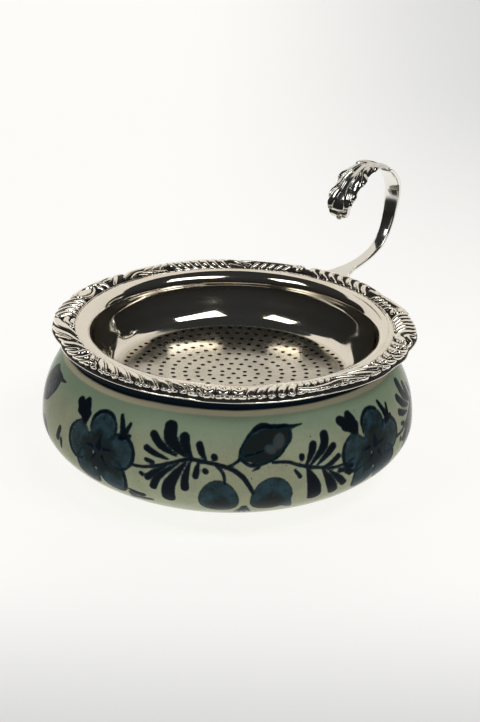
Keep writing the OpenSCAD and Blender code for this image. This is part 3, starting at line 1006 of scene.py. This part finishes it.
def chase_border(f):
    """Scrolls, shells, crescents and flame leaves, cut all the way round the border.
    Places are (degrees, mm from the inner edge, half width, height)."""
    ridge = f.ridge

    def row(start, step, count, points):
        for k in range(count):
            ridge([(start + step * k + x, y, r, h) for x, y, r, h in points])

    def volute(x, y, size, turns, hand=1, width=0.42, begin=0.0):
        pts = []
        for t in np.linspace(0, 1, int(12 * turns)):
            b = begin + hand * t * turns * 2 * math.pi
            r = size * (1 - 0.72 * t)
            pts.append((x + r * math.cos(b) / 0.71, y + r * math.sin(b), width * (1 - 0.3 * t), 1))
        ridge(pts, smooth=2)
        f.boss((x, y), (size * 0.22, size * 0.22))

    # 180 - 200: left cartouche, a hooked crest that crosses the border with a scroll behind it
    ridge([(177.6, 5.6, 0.42, 0.9), (180.8, 4.6, 0.6, 1), (184.5, 3.7, 0.72, 1),
           (188.4, 2.7, 0.7, 1),
           (192.2, 1.3, 0.5, 1), (195.0, 0.3, 0.34, 0.9)])
    ridge([(180.4, 2.2, 0.4, 0.95), (183.2, 2.5, 0.5, 1), (186.2, 1.8, 0.5, 1),
           (187.6, 0.8, 0.4, 1)])
    ridge([(179.6, 0.5, 0.34, 0.9), (182.4, 1.0, 0.42, 1), (184.8, 0.5, 0.34, 0.9)])
    ridge([(184.6, 5.6, 0.42, 1), (188.6, 4.9, 0.5, 1), (192.6, 4.0, 0.58, 1),
           (196.6, 2.8, 0.62, 1),
           (200.4, 1.6, 0.5, 1), (203.0, 0.6, 0.34, 0.9)])
    ridge([(191.0, 5.6, 0.3, 0.9), (195.2, 4.4, 0.3, 0.95), (199.4, 3.0, 0.3, 0.95)])
    # 195 - 216: a bold S, then crescents that open backwards
    ridge([(194.8, 5.8, 0.4, 1), (198.8, 5.2, 0.56, 1), (202.0, 4.1, 0.64, 1),
           (204.8, 2.7, 0.6, 1),
           (208.0, 1.5, 0.5, 1), (211.6, 0.6, 0.36, 0.9)])
    ridge([(203.6, 5.6, 0.32, 0.9), (206.0, 4.4, 0.34, 0.95), (208.2, 3.2, 0.3, 0.9)])
    for k in range(3):
        a = 206.2 + 4.4 * k
        ridge([(a - 0.6, 5.7, 0.42, 1), (a + 2.6, 4.9, 0.58, 1), (a + 4.4, 3.7, 0.62, 1),
               (a + 4.6, 2.5, 0.5, 1), (a + 6.0, 1.4, 0.36, 0.9)])
    # 214 - 254: flame leaves that lean far over with the rim, a thin line beside each
    row(208.6, 5.0, 9, [(0.0, 0.1, 0.34, 0.8), (4.2, 1.1, 0.6, 1), (8.0, 2.5, 0.72, 1),
                        (10.8, 3.9, 0.62, 1), (12.2, 5.2, 0.45, 1)])
    row(212.6, 5.0, 8, [(0.0, 0.5, 0.2, 0.8), (3.4, 1.5, 0.27, 0.95), (6.6, 2.9, 0.3, 1),
                        (8.8, 4.4, 0.26, 0.95)])
    # 256 - 272: front shell with square lobes
    for a in (257.4, 262.3, 267.2, 272.0):
        ridge([(a - 2.1, 0.5, 0.4, 0.9), (a - 1.9, 2.6, 0.55, 1), (a, 3.8, 0.62, 1),
               (a + 1.8, 2.6, 0.5, 1), (a + 2.0, 0.5, 0.36, 0.9)])
        ridge([(a - 0.1, 0.4, 0.4, 0.9), (a, 2.2, 0.5, 1)])
        ridge([(a - 1.7, 5.2, 0.45, 1), (a + 1.7, 5.2, 0.45, 1)])
    # 274 - 290: feathers that lean the other way
    row(275.0, 3.3, 5, [(0.0, 5.3, 0.45, 1), (0.4, 3.6, 0.68, 1), (2.0, 1.9, 0.6, 1),
                        (4.6, 0.2, 0.3, 0.8)])
    # 289 - 320: long leaf with a ticked edge
    ridge([(291.0, 4.0, 0.5, 1), (295.4, 4.7, 0.6, 1), (300.8, 4.5, 0.62, 1), (305.6, 3.9, 0.5, 1),
           (310.0, 4.6, 0.5, 1), (315.4, 5.4, 0.42, 1)])
    row(291.8, 2.5, 5, [(0, 3.1, 0.42, 0.95), (0.9, 1.8, 0.5, 1), (2.6, 0.4, 0.3, 0.85)])
    ridge([(302.4, 0.5, 0.36, 0.85), (306.0, 1.8, 0.56, 1), (310.6, 3.0, 0.66, 1),
           (316.0, 4.1, 0.6, 1),
           (320.6, 5.4, 0.42, 0.95)])
    ridge([(307.0, 0.4, 0.34, 0.85), (311.8, 1.3, 0.56, 1), (316.8, 2.5, 0.62, 1),
           (321.8, 3.9, 0.5, 1),
           (324.6, 5.2, 0.4, 0.95)])
    ridge([(313.0, 0.3, 0.32, 0.85), (318.0, 1.0, 0.5, 1), (323.0, 2.3, 0.5, 1)])
    # 322 - 344: crescents that open backwards, each with a thin line inside
    for k in range(5):
        a = 322.0 + 4.7 * k
        ridge([(a + 5.6, 5.6, 0.42, 0.95), (a + 2.0, 4.6, 0.6, 1), (a + 0.4, 3.1, 0.7, 1),
               (a + 2.0, 1.6, 0.56, 1), (a + 5.8, 0.4, 0.34, 0.85)])
        ridge([(a + 5.0, 4.0, 0.25, 0.95), (a + 3.1, 3.0, 0.3, 1), (a + 4.6, 1.9, 0.26, 0.95)])
    # 343 - 357: right cartouche, a broad V with a smaller one inside
    ridge([(342.6, 5.6, 0.45, 1), (346.2, 3.4, 0.64, 1), (350.6, 1.2, 0.66, 1),
           (353.8, 3.0, 0.64, 1),
           (356.6, 5.6, 0.45, 1)])
    ridge([(347.2, 5.6, 0.4, 1), (350.4, 3.4, 0.5, 1), (353.0, 5.6, 0.4, 1)])
    ridge([(347.0, 0.3, 0.34, 0.9), (350.6, 0.0, 0.3, 0.9), (354.6, 0.5, 0.36, 0.9)])
    # 355 - 370: flutes
    row(354.4, 3.0, 5, [(0, 0.4, 0.38, 0.9), (1.8, 2.0, 0.54, 1), (3.4, 3.8, 0.56, 1),
                        (5.0, 5.6, 0.42, 0.95)])
    # 8 - 34: scroll, ticked strip and the back of a long C
    volute(12.2, 2.3, 1.6, 1.2, hand=-1, width=0.5, begin=math.radians(120))
    row(15.6, 2.7, 5, [(0, 1.9, 0.36, 0.9), (1.2, 0.9, 0.45, 1), (2.4, 0.1, 0.26, 0.8)])
    ridge([(10.6, 5.5, 0.45, 1), (16.4, 4.5, 0.6, 1), (22.6, 3.5, 0.68, 1), (28.4, 2.7, 0.72, 1),
           (32.6, 2.2, 0.5, 1)])
    ridge([(18.6, 5.8, 0.42, 0.9), (24.6, 5.0, 0.56, 1), (30.6, 4.3, 0.6, 1),
           (34.0, 5.4, 0.42, 1)])
    # 34 - 62: gadroon crescents with open ground between
    for k in range(7):
        a = 36.4 + 4.0 * k
        ridge([(a - 2.8, 5.6, 0.4, 1), (a + 0.3, 4.4, 0.52, 1), (a + 1.1, 2.9, 0.56, 1),
               (a - 0.1, 1.5, 0.48, 1), (a - 3.0, 0.4, 0.32, 0.85)])
    # 62 - 92: scroll end, then the low back of the next C
    volute(66.4, 2.6, 1.6, 1.2, hand=-1, width=0.5, begin=math.radians(100))
    ridge([(68.6, 5.2, 0.45, 1), (72.6, 3.9, 0.6, 1), (78.6, 3.0, 0.66, 1), (84.6, 3.2, 0.62, 1),
           (88.8, 4.4, 0.5, 1), (91.2, 5.7, 0.4, 1)])
    row(70.2, 3.0, 5, [(0, 1.8, 0.4, 0.9), (1.6, 0.4, 0.42, 0.95)])
    ridge([(75.0, 5.8, 0.4, 0.9), (79.6, 4.8, 0.5, 1), (84.6, 5.6, 0.4, 0.95)])
    ridge([(85.0, 1.2, 0.42, 0.9), (89.4, 2.2, 0.5, 1), (92.8, 4.0, 0.42, 1)])
    ridge([(87.0, 0.2, 0.34, 0.9), (92.4, 1.0, 0.42, 0.95)])
    # 92 - 113: leaf flutes round the crest
    row(94.4, 3.1, 7, [(-1.8, 5.6, 0.4, 0.95), (0.8, 4.1, 0.58, 1), (1.4, 2.6, 0.6, 1),
                       (0.2, 1.0, 0.46, 0.95), (-1.6, 0.1, 0.3, 0.8)])
    # 113 - 134: running out in a long tip
    for k in range(3):
        ridge([(114.0 + 3.3 * k, 4.4 - 0.1 * k, 0.4, 0.9), (116.6 + 3.3 * k, 2.8, 0.5, 1),
               (119.4 + 3.3 * k, 1.4 + 0.1 * k, 0.36, 0.9)])
    ridge([(114.6, 5.8, 0.42, 0.9), (120.6, 5.0, 0.5, 1), (126.0, 4.2, 0.5, 1),
           (131.0, 3.0, 0.46, 1),
           (135.4, 1.4, 0.36, 1)])
    ridge([(117.6, 0.4, 0.4, 0.9), (123.2, 0.8, 0.5, 1), (129.0, 1.5, 0.45, 1),
           (132.6, 0.6, 0.34, 1)])
    f.boss((129.6, 5.2), (0.9, 0.6))
    # 132 - 152: C scroll and plain bands
    ridge([(133.0, 5.4, 0.42, 1), (136.6, 4.2, 0.5, 1), (139.0, 2.2, 0.5, 1),
           (141.6, 0.5, 0.36, 0.9)])
    ridge([(146.4, 4.6, 0.45, 1), (142.6, 5.0, 0.55, 1), (140.0, 4.0, 0.5, 1),
           (141.2, 2.5, 0.45, 1),
           (144.2, 2.6, 0.4, 1)])
    row(145.0, 3.4, 2, [(0.4, 0.3, 0.36, 0.85), (0.8, 1.6, 0.52, 1), (2.4, 3.0, 0.55, 1),
                        (3.6, 5.2, 0.42, 1)])
    # 150 - 164: long oval boss in its own rings
    f.boss((156.6, 2.6), (2.4, 0.85))
    for rr, wd, arc in ((0.0, 0.34, (0.0, 6.28)), (1.0, 0.42, (0.0, 3.3))):
        ridge([(156.6 + (3.6 + rr) * math.cos(b) / 0.71,
                2.6 + (1.75 + rr * 0.9) * math.sin(b), wd, 1)
               for b in np.linspace(arc[0], arc[1], 24)], smooth=2)
    # 163 - 180: bands across the border that turn forwards at their outer ends
    row(162.8, 4.1, 4, [(0.2, 0.1, 0.4, 0.85), (0.4, 1.6, 0.56, 1), (1.2, 3.2, 0.62, 1),
                        (3.6, 5.2, 0.46, 1)])
    row(165.0, 4.1, 4, [(0.2, 0.3, 0.24, 0.85), (0.7, 2.0, 0.28, 0.95), (2.4, 4.4, 0.25, 0.9)])


def border_section():
    """The cast ring's outer face before chasing, in mm from the strainer's axis: the part that
    is chased, and the plain foot under it."""
    top = spline([(38.1, -0.12), (38.4, 0.1), (39.0, 0.47), (39.8, 0.8), (40.6, 0.9), (41.4, 0.76),
                  (42.1, 0.45), (42.65, 0.1), (42.95, -0.3), (43.0, -0.85)], 6)
    foot = np.array([(43.0, -0.95), (43.02, -1.05), (43.2, -1.14), (43.26, -1.25), (43.2, -1.38),
                     (42.7, -1.6), (42.0, -2.1)])
    return walk(top, 0.118), foot


def build_border(s):
    """The cast ring, chased by moving each point of its turned section along the normal."""
    columns = 1480
    face, foot = border_section()
    line = np.vstack([face, foot])
    along = lengths_along(line)
    field = Carving(columns, along, line[:, 0])
    chase_border(field)
    relief = field.relief()
    az = field.az
    # wavy outer edge: the outer half of the section is drawn out or in
    out = edge_shift(az)
    for _ in range(3):
        out = (np.roll(out, 2) + out + np.roll(out, -2)) / 3
    # gadroon lobes scallop the upright edge
    lobes = np.abs(np.sin(np.radians(az * 45 + 25 * np.sin(np.radians(az * 3))))) ** 0.5
    share = ramp_smooth(line[:, 0], 39.4, 42.6)[:, None]
    edge = along[-len(foot):]
    upright = ramp_smooth(along, 5.1, 5.6) * (1 - ramp_smooth(along, edge[0] - 0.1, edge[1]))
    _, normal = frames_along(line)
    # relief fades out at the seam with the lip and on the upright edge
    fade = ramp_smooth(along, 0.02, 0.45) * (1 - ramp_smooth(along, 5.2, 6.0))
    rng = np.random.default_rng(3)
    wobble = rng.normal(0, 1, (len(line), columns))
    for _ in range(2):
        wobble = (wobble + np.roll(wobble, 1, 1) + np.roll(wobble, -1, 1)) / 3
        wobble[1:-1] = (wobble[:-2] + wobble[1:-1] + wobble[2:]) / 3
    deep = s.relief / MM
    h = (relief * deep - deep * 0.62) * fade[:, None] + wobble * 0.02 * fade[:, None]
    h = h + upright[:, None] * (lobes[None, :] - 1) * 0.38
    r = line[:, 0][:, None] + out[None, :] * share + normal[:, 0][:, None] * h
    z = line[:, 1][:, None] + normal[:, 1][:, None] * h
    # hidden lower side rests on the flange
    base = np.array([(41.85, -1.78), (40.2, -1.0), (38.6, -0.34), (38.12, -0.22)])
    r = np.vstack([r, np.repeat(base[:, 0][:, None], columns, 1)])
    z = np.vstack([z, np.repeat(base[:, 1][:, None], columns, 1)])
    turn = np.radians(az)
    verts = np.stack([r * np.cos(turn), r * np.sin(turn), z], -1).reshape(-1, 3) * MM
    rows = len(r)
    faces = grid_faces(rows, columns, wrap_rows=True)
    piece = new_piece("cast_border", verts, faces)
    fix_outward(piece)
    worn = np.where(along < 0.2, 0.9, 0.0) + np.where(along > edge[1] + 0.05, 0.75, 0.0)
    # painted dark reflection: the upright outer edge is coloured as dark patina all round, with
    # patina deeper in the hollows between the lobes
    wall = upright[:, None] * (0.02 + 0.20 * lobes[None, :])
    crest = np.maximum(relief * fade[:, None], np.maximum(worn[:, None], wall))
    crest = np.vstack([crest, np.full((len(base), columns), 0.3)])
    add_point_values(piece, "crest", crest)
    piece.data.transform(seat_matrix())
    finish_piece(piece, "strainer", cast_material(s), "cast_silver", "border")


def bead_tree():
    """Bead lobes set along part of a ring, each turned outwards and of its own length."""
    tree, n, given, sockets = new_tree("bead_lobes", (
        ("Ring radius", "Float", 0.0424), ("Height", "Float", -0.0008), ("Count", "Int", 120),
        ("From", "Float", 3.5), ("To", "Float", 5.6), ("Length", "Float", 0.0009),
        ("Width", "Float", 0.00042), ("Seed", "Int", 4), ("Material", "Material", None)))
    circle = n.add("GeometryNodeMeshCircle", {
        "Vertices": given["Count"], "Radius": given["Ring radius"]})
    where = n.parts_of(n.add("GeometryNodeInputPosition"))
    angle = n.math("ARCTAN2", where[1], where[0])
    angle = n.math("FLOORED_MODULO", angle, 2 * math.pi)
    inside = n.math("MULTIPLY", n.math("GREATER_THAN", angle, given["From"]),
                    n.math("LESS_THAN", angle, given["To"]))
    long = n.add("FunctionNodeRandomValue", {2: 0.75, 3: 1.45, "Seed": given["Seed"]},
                 out=1, data_type="FLOAT")
    size = n.add("ShaderNodeCombineXYZ", {
        0: given["Width"], 1: n.math("MULTIPLY", given["Length"], long),
        2: given["Width"]})
    ball = n.add("GeometryNodeMeshUVSphere", {"Segments": 14, "Rings": 8, "Radius": 1.0})
    turned = n.add("ShaderNodeCombineXYZ", {2: angle})
    beads = n.add("GeometryNodeInstanceOnPoints", {
        "Points": circle, "Selection": inside, "Instance": ball, "Rotation": turned,
        "Scale": size})
    lifted = n.add("GeometryNodeTransform", {
        "Geometry": beads,
        "Translation": n.add("ShaderNodeCombineXYZ", {2: given["Height"]})})
    close_tree(n, lifted, given["Material"])
    return tree, sockets


def build_beads(s):
    """Bead lobes along the front edge of the border, moved to follow its wavy outline."""
    ring_radius = 0.04272
    tree, sockets = bead_tree()
    material = bpy.data.materials["cast_silver"]
    mesh = grown_mesh("border_beads", tree, sockets, {
        "Count": s.beads, "From": math.radians(222), "To": math.radians(326),
        "Ring radius": ring_radius, "Height": 0.00005, "Length": 0.00092, "Width": 0.00040,
        "Seed": 4, "Material": material})
    mesh.shade_smooth()
    piece = link_object("border_beads", mesh)
    co = read_values(mesh.vertices, "co", 3)
    turn = np.degrees(np.arctan2(co[:, 1], co[:, 0])) % 360
    co[:, :2] *= (1 + edge_shift(turn) * MM / ring_radius)[:, None]
    mesh.vertices.foreach_set("co", co.ravel())
    add_point_values(piece, "crest", 0.1 + 0.9 * ramp_smooth(co[:, 2], -0.00022, 0.0001))
    mesh.transform(seat_matrix())
    finish_piece(piece, "strainer", material, "cast_silver")


# ---------------------------------------------------------------- the handle

# both lines are (out, up) in mm in the handle's upright plane, from the strainer's axis and lip
STRAP_LINE = [(42.6, -1.05), (44, -0.95), (48.6, -0.73), (54.8, -0.5), (59.7, 0.2), (63.9, 1.7),
              (66.9, 4.4), (68.7, 7.6), (69.7, 11), (70.3, 14.2), (70.2, 16.9), (69.0, 19.3),
              (66.8, 21.5), (64.9, 22.65)]
LEAF_LINE = [(68.6, 19.9), (66.8, 21.5), (63.9, 23.4), (60.3, 24.9), (56.6, 25.35), (53.3, 24.95),
             (50.1, 23.7), (47.4, 21.9), (45.3, 19.8), (44.2, 17.7), (44.3, 15.9), (45.4, 14.75),
             (46.3, 15.1)]


def handle_matrix(h):
    """From the handle's upright plane (out, across, up) to the row frame."""
    return seat_matrix() @ Matrix.Rotation(h.azimuth, 4, "Z")


def build_strap(h, material):
    """The swan-neck strap: wide where it is soldered on, narrow, then even round the loop."""
    line = walk(spline(STRAP_LINE, 8), 0.35)
    _, normal = frames_along(line)
    along = lengths_along(line)
    strap, root = h.strap / MM / 2, h.root / MM / 2
    half = np.interp(along, [0, 1.6, 4.2, 8, 13, 20, 27, 31, 35, 40, 50, 60],
                     [root, root * 0.97, root * 0.70, 1.95, 1.6, 1.5, 1.7, 1.95,
                      strap * 0.93, strap, strap, strap * 0.9])
    thick = np.interp(along, [0, 6, 20, 60], [0.5, 0.55, 0.55, 0.5])
    steps = 28
    ring = np.arange(steps) * 2 * math.pi / steps
    # a flat bar with soft corners, slightly crowned
    cx = np.sign(np.cos(ring)) * np.abs(np.cos(ring)) ** 0.32
    cy = np.sign(np.sin(ring)) * np.abs(np.sin(ring)) ** 0.62
    verts = []
    for i, (u, z) in enumerate(line):
        across = cx * half[i]
        up = cy * thick[i] + np.where(cy > 0, 0.10, 0.0) * (1 - cx ** 2)
        verts.append(np.stack([u + normal[i, 0] * up, across, z + normal[i, 1] * up], 1))
    piece = new_piece("handle_strap_bar", np.concatenate(verts) * MM,
                      bar_faces(len(line), steps))
    fix_outward(piece)
    piece.data.transform(handle_matrix(h))
    finish_piece(piece, "strainer", material, "polished_silver", "handle_strap")


def nearer(U, W, near, second, points):
    """Distance to one more stroke, kept if it is the nearest or the second nearest."""
    best = np.full(U.shape, FOREVER)
    for distance, half, *_ in steps_of(points, U, W, 1.0):
        best = np.minimum(best, distance / half)
    return np.minimum(near, best), np.where(best < near, near, np.minimum(second, best))


def build_leaf(h, material):
    """Curled leaf end: a sunk middle, leaflets that sweep towards the tip, a lobed edge."""
    line = walk(spline(LEAF_LINE, 8), 0.16)
    _, normal = frames_along(line)
    along = lengths_along(line)
    total = along[-1]
    f = along / total
    cols = 61
    v = np.linspace(-1, 1, cols)
    wide = h.leaf / MM / 2
    shape = np.interp(f, [0, 0.08, 0.2, 0.34, 0.5, 0.66, 0.8, 0.9, 0.96, 1.0],
                      [0.44, 0.46, 0.53, 0.70, 0.92, 1.0, 0.90, 0.72, 0.60, 0.42]) * wide
    on = ramp_smooth(f, 0.0, 0.08) * (1 - ramp_smooth(f, 0.85, 0.93))
    # leaflets: each leaves the middle rib, sweeps on towards the tip and turns out at its end
    U = np.repeat(along[:, None], cols, 1)
    W = shape[:, None] * v[None, :]
    near = np.full(U.shape, FOREVER)
    second = near.copy()
    starts = np.array([-0.04, 0.18, 0.38, 0.56]) * total
    run = np.array([0.42, 0.42, 0.40, 0.30]) * total
    tips = starts + run
    # each step: its share of the run, how far out towards the edge, and the half width in mm
    steps = ((0.0, 0.20, 0.30), (0.35, 0.30, 0.46), (0.7, 0.56, 0.66), (1.0, 0.86, 0.72))
    for side in (-1, 1):
        for u0, length in zip(starts, run):
            points = []
            for share, out, width in steps:
                u = u0 + share * length
                points.append((u, side * max(0.75, out * np.interp(u, along, shape)), width))
            near, second = nearer(U, W, near, second, spline(points, 4))
    # a dark channel runs down the middle of the leaf
    sunk = ramp_smooth(np.abs(W), 0.55, 1.15)
    cut = ramp_smooth(second - near, 0.0, 0.85) * round_back(near, 1.7) * sunk
    # the edge swells at each leaflet's end and draws in between
    away = np.abs(f[:, None] * total - tips[None, :]).min(1)
    half = shape * (1 - on * ramp_smooth(f, 0.30, 0.50) * 0.19 * ramp_smooth(away, 0.5, 2.4))
    V = np.repeat(v[None, :], len(f), 0)
    H = half[:, None]
    # painted dark reflection: past the leaflets the tip is coloured as dark patina (0.24), while
    # the root keeps clean silver (0.7)
    crest = cut * on[:, None] ** 2 + np.where(f < 0.5, 0.7, 0.24)[:, None] * (1 - on[:, None])
    rise = 0.50 * cut * (0.35 + 0.65 * on[:, None]) - 0.25 * on[:, None]
    # the near half droops more than the far half, and both rims curl up again
    droop = 0.60 - 0.45 * V
    arch = -droop * (np.abs(V) ** 2.2) * ramp_smooth(f, 0.1, 0.5)[:, None]
    curl = 0.5 * np.clip(np.abs(V) - 0.72, 0, 1) * on[:, None]
    upper = 0.45 + rise + arch + curl
    edge = ramp_smooth(1 - np.abs(V), 0, 0.10)
    lower = -0.45 + arch * 0.9 + curl
    mid = (upper + lower) / 2
    upper = mid + (upper - mid) * (0.15 + 0.85 * edge)
    lower = mid + (lower - mid) * (0.15 + 0.85 * edge)

    # the line's normal points into the loop or out of it; the upper side is the one outside
    loop_middle = np.array([59.0, 12.0])
    outward = np.sign(((line - loop_middle) * normal).sum(1).mean())

    def sheet(height):
        at = line[:, None, :] + normal[:, None, :] * (height * outward)[:, :, None]
        return np.stack([at[:, :, 0], H * V, at[:, :, 1]], -1)

    ring = np.concatenate([sheet(upper), sheet(lower)[:, ::-1]], 1)
    rows = len(line)
    piece = new_piece("leaf_end", ring.reshape(-1, 3) * MM, bar_faces(rows, ring.shape[1]))
    fix_outward(piece)
    under = np.full((rows, cols), 0.75)
    add_point_values(piece, "crest", np.concatenate([crest, under], 1))
    piece.data.transform(handle_matrix(h))
    finish_piece(piece, "strainer", material, "cast_silver", "handle_leaf")


def build_tip_beads(h, material):
    """Three small beads at the curled tip of the leaf."""
    work = bmesh.new()
    for u, y, z, r in ((45.9, 0.75, 15.3, 0.85), (45.7, -0.85, 15.4, 0.78),
                       (44.8, -0.05, 14.9, 0.85)):
        bmesh.ops.create_icosphere(work, subdivisions=3, radius=r * MM,
                                   matrix=Matrix.Translation((u * MM, y * MM, z * MM))
                                   @ Matrix.Diagonal((1.0, 1.15, 0.9, 1)))
    mesh = bpy.data.meshes.new("leaf_tip_beads")
    work.to_mesh(mesh)
    work.free()
    mesh.shade_smooth()
    tip = link_object("leaf_tip_beads", mesh)
    # painted dark reflection: the polished beads are set half way to patina (0.36) so that they
    # read dark
    add_point_values(tip, "crest", np.full(len(mesh.vertices), 0.36))
    mesh.transform(handle_matrix(h))
    finish_piece(tip, "strainer", material, "cast_silver")


# ---------------------------------------------------------------- stage, light and camera

AIM = Vector((0.00279, 0.0, 0.0276))        # the point that the camera looks at
CAMERA_ROLL = 0.023


def area_light(name, place_at, look_at, size, power):
    data = bpy.data.lights.new(name, "AREA")
    data.shape = "RECTANGLE"
    data.size, data.size_y = size
    data.energy = power
    lamp = link_object(name, data)
    lamp.location = place_at
    aim = Vector(look_at) - Vector(place_at)
    lamp.rotation_euler = aim.to_track_quat("-Z", "Y").to_euler()
    return lamp


def floor_material(s):
    """White acrylic with a painted glow like a light table lit from below: its emission is a
    painted pool of light, brightest round the middle.
    """
    material, n, shader, tree = new_material("white_sweep")
    here = place(n)
    cloud = n.noise(here, 3.0, 2.0)
    tree.links.new(n.mix(n.fit(cloud, 0.3, 0.7), colour(s.floor), colour(s.floor, 0.97)),
                   shader.inputs["Base Color"])
    grain = n.noise(here, 900.0, 2.0)
    tree.links.new(n.fit(grain, 0.3, 0.7, 0.55, 0.7), shader.inputs["Roughness"])
    shader.inputs["Specular IOR Level"].default_value = 0.15
    # painted pool of light: the emission is brightest round the object, dimmer towards the front
    # edge and on the right behind it, and warmer up the sweep
    x, y, z = n.parts_of(here)
    front = n.fit(y, -0.155, -0.052)
    side = n.math("MULTIPLY", n.fit(x, -0.03, 0.13), n.fit(y, 0.02, 0.38))
    pool = n.mix(front, (0.58, 0.585, 0.585, 1), (1.0, 0.99, 0.97, 1))
    pool = n.mix(side, pool, (0.66, 0.665, 0.66, 1))
    tree.links.new(n.mix(n.fit(z, 0.02, 0.25), pool, (0.80, 0.765, 0.71, 1)),
                   shader.inputs["Emission Color"])
    # strength of the painted glow
    shader.inputs["Emission Strength"].default_value = s.painted_glow
    tree.links.new(n.bump(grain, 0.00005, 0.1), shader.inputs["Normal"])
    return material


def build_stage(s):
    """Floor, backdrop and tent in one sheet, the dark room behind, three lights and the camera."""
    half_width, bend_y, bend = 1.5, 0.7, 0.42
    profile = [(-1.6, 0.0), (bend_y, 0.0)]
    for k in range(1, 13):
        b = math.radians(90 * k / 12)
        profile.append((bend_y + bend * math.sin(b), bend * (1 - math.cos(b))))
    # the tent's roof ends over the object
    profile += [(1.12, 0.80), (1.08, 1.02), (0.97, 1.16), (0.72, 1.25)]
    verts = [(x, y, z) for y, z in profile for x in (-half_width, half_width)]
    faces = [(2 * k, 2 * k + 1, 2 * k + 3, 2 * k + 2) for k in range(len(profile) - 1)]
    sweep = new_piece("white_sweep", verts, faces)
    sweep.data.materials.append(floor_material(s))

    world = bpy.data.worlds.new("studio")
    world.use_nodes = True
    bpy.context.scene.world = world
    n = Nodes(world.node_tree)
    ground = world.node_tree.nodes["Background"]
    up = n.parts_of(n.add("ShaderNodeTexCoord", out=0))[2]
    world.node_tree.links.new(
        n.mix(n.fit(up, -0.1, 0.9), (0.014, 0.013, 0.011, 1), (0.03, 0.032, 0.034, 1)),
        ground.inputs["Color"])
    ground.inputs["Strength"].default_value = 1.0

    target = (0, 0, 0.03)
    front = area_light("front_fill", (0.0, -1.0, 0.55), target, (0.9, 0.4), s.key)
    front.visible_glossy = False
    area_light("right_softbox", (0.40, -0.42, 0.82), target, (0.60, 0.27), 2.2)
    area_light("left_softbox", (-0.50, -0.35, 0.80), target, (0.36, 0.24), 1.2)

    data = bpy.data.cameras.new("studio_camera")
    camera = link_object("studio_camera", data)
    down = s.elevation
    camera.location = (AIM.x, AIM.y - s.distance * math.cos(down),
                       AIM.z + s.distance * math.sin(down))
    camera.rotation_euler = (Matrix.Rotation(math.radians(90) - down, 3, "X")
                             @ Matrix.Rotation(CAMERA_ROLL, 3, "Z")).to_euler()
    data.lens = s.lens
    data.clip_start = 0.01
    bpy.context.scene.camera = camera
    bpy.context.scene.view_settings.view_transform = "Standard"


# ---------------------------------------------------------------- operators and panel

class TEA_OT_drip_bowl(bpy.types.Operator):
    """Turns the drip bowl and paints it"""
    bl_idname = "tea.drip_bowl"
    bl_label = "Drip bowl"

    def execute(self, context):
        build_drip_bowl(context.scene.tea_bowl)
        return {"FINISHED"}


class TEA_OT_strainer_bowl(bpy.types.Operator):
    """Presses the strainer's bowl and punches its holes"""
    bl_idname = "tea.strainer_bowl"
    bl_label = "Strainer bowl"

    def execute(self, context):
        build_strainer_bowl(context.scene.tea_strainer)
        return {"FINISHED"}


class TEA_OT_border(bpy.types.Operator):
    """Casts and chases the scroll border, with its bead lobes"""
    bl_idname = "tea.border"
    bl_label = "Border"

    def execute(self, context):
        build_border(context.scene.tea_border)
        build_beads(context.scene.tea_border)
        return {"FINISHED"}


class TEA_OT_handle(bpy.types.Operator):
    """Bends the strap and sets the cast leaf on its end"""
    bl_idname = "tea.handle"
    bl_label = "Handle"

    def execute(self, context):
        build_strap(context.scene.tea_handle, bpy.data.materials["polished_silver"])
        build_leaf(context.scene.tea_handle, bpy.data.materials["cast_silver"])
        build_tip_beads(context.scene.tea_handle, bpy.data.materials["cast_silver"])
        return {"FINISHED"}


class TEA_OT_stage(bpy.types.Operator):
    """Sets the floor, the studio light and the camera"""
    bl_idname = "tea.stage"
    bl_label = "Stage"

    def execute(self, context):
        build_stage(context.scene.tea_stage)
        return {"FINISHED"}


class TEA_PT_panel(bpy.types.Panel):
    """Lists the settings and the steps"""
    bl_idname = "TEA_PT_panel"
    bl_label = "Tea strainer"
    bl_space_type = "VIEW_3D"
    bl_region_type = "UI"
    bl_category = "Tea strainer"

    def draw(self, context):
        layout = self.layout
        for name, group in SETTINGS.items():
            box = layout.box()
            for key in group.__annotations__:
                box.prop(getattr(context.scene, name), key)
        for operator in OPERATORS:
            layout.operator(operator.bl_idname)


SETTINGS = {"tea_bowl": TeaBowlSettings, "tea_strainer": TeaStrainerSettings,
            "tea_border": TeaBorderSettings, "tea_handle": TeaHandleSettings,
            "tea_stage": TeaStageSettings}
OPERATORS = (TEA_OT_drip_bowl, TEA_OT_strainer_bowl, TEA_OT_border, TEA_OT_handle, TEA_OT_stage)


def register():
    for name, group in SETTINGS.items():
        bpy.utils.register_class(group)
        setattr(bpy.types.Scene, name, PointerProperty(type=group))
    for operator in OPERATORS:
        bpy.utils.register_class(operator)
    bpy.utils.register_class(TEA_PT_panel)


def unregister():
    bpy.utils.unregister_class(TEA_PT_panel)
    for operator in reversed(OPERATORS):
        bpy.utils.unregister_class(operator)
    for name, group in reversed(SETTINGS.items()):
        delattr(bpy.types.Scene, name)
        bpy.utils.unregister_class(group)


def main():
    register()
    bpy.ops.tea.drip_bowl()
    bpy.ops.tea.strainer_bowl()
    bpy.ops.tea.border()
    bpy.ops.tea.handle()
    bpy.ops.tea.stage()


if __name__ == "__main__":
    main()
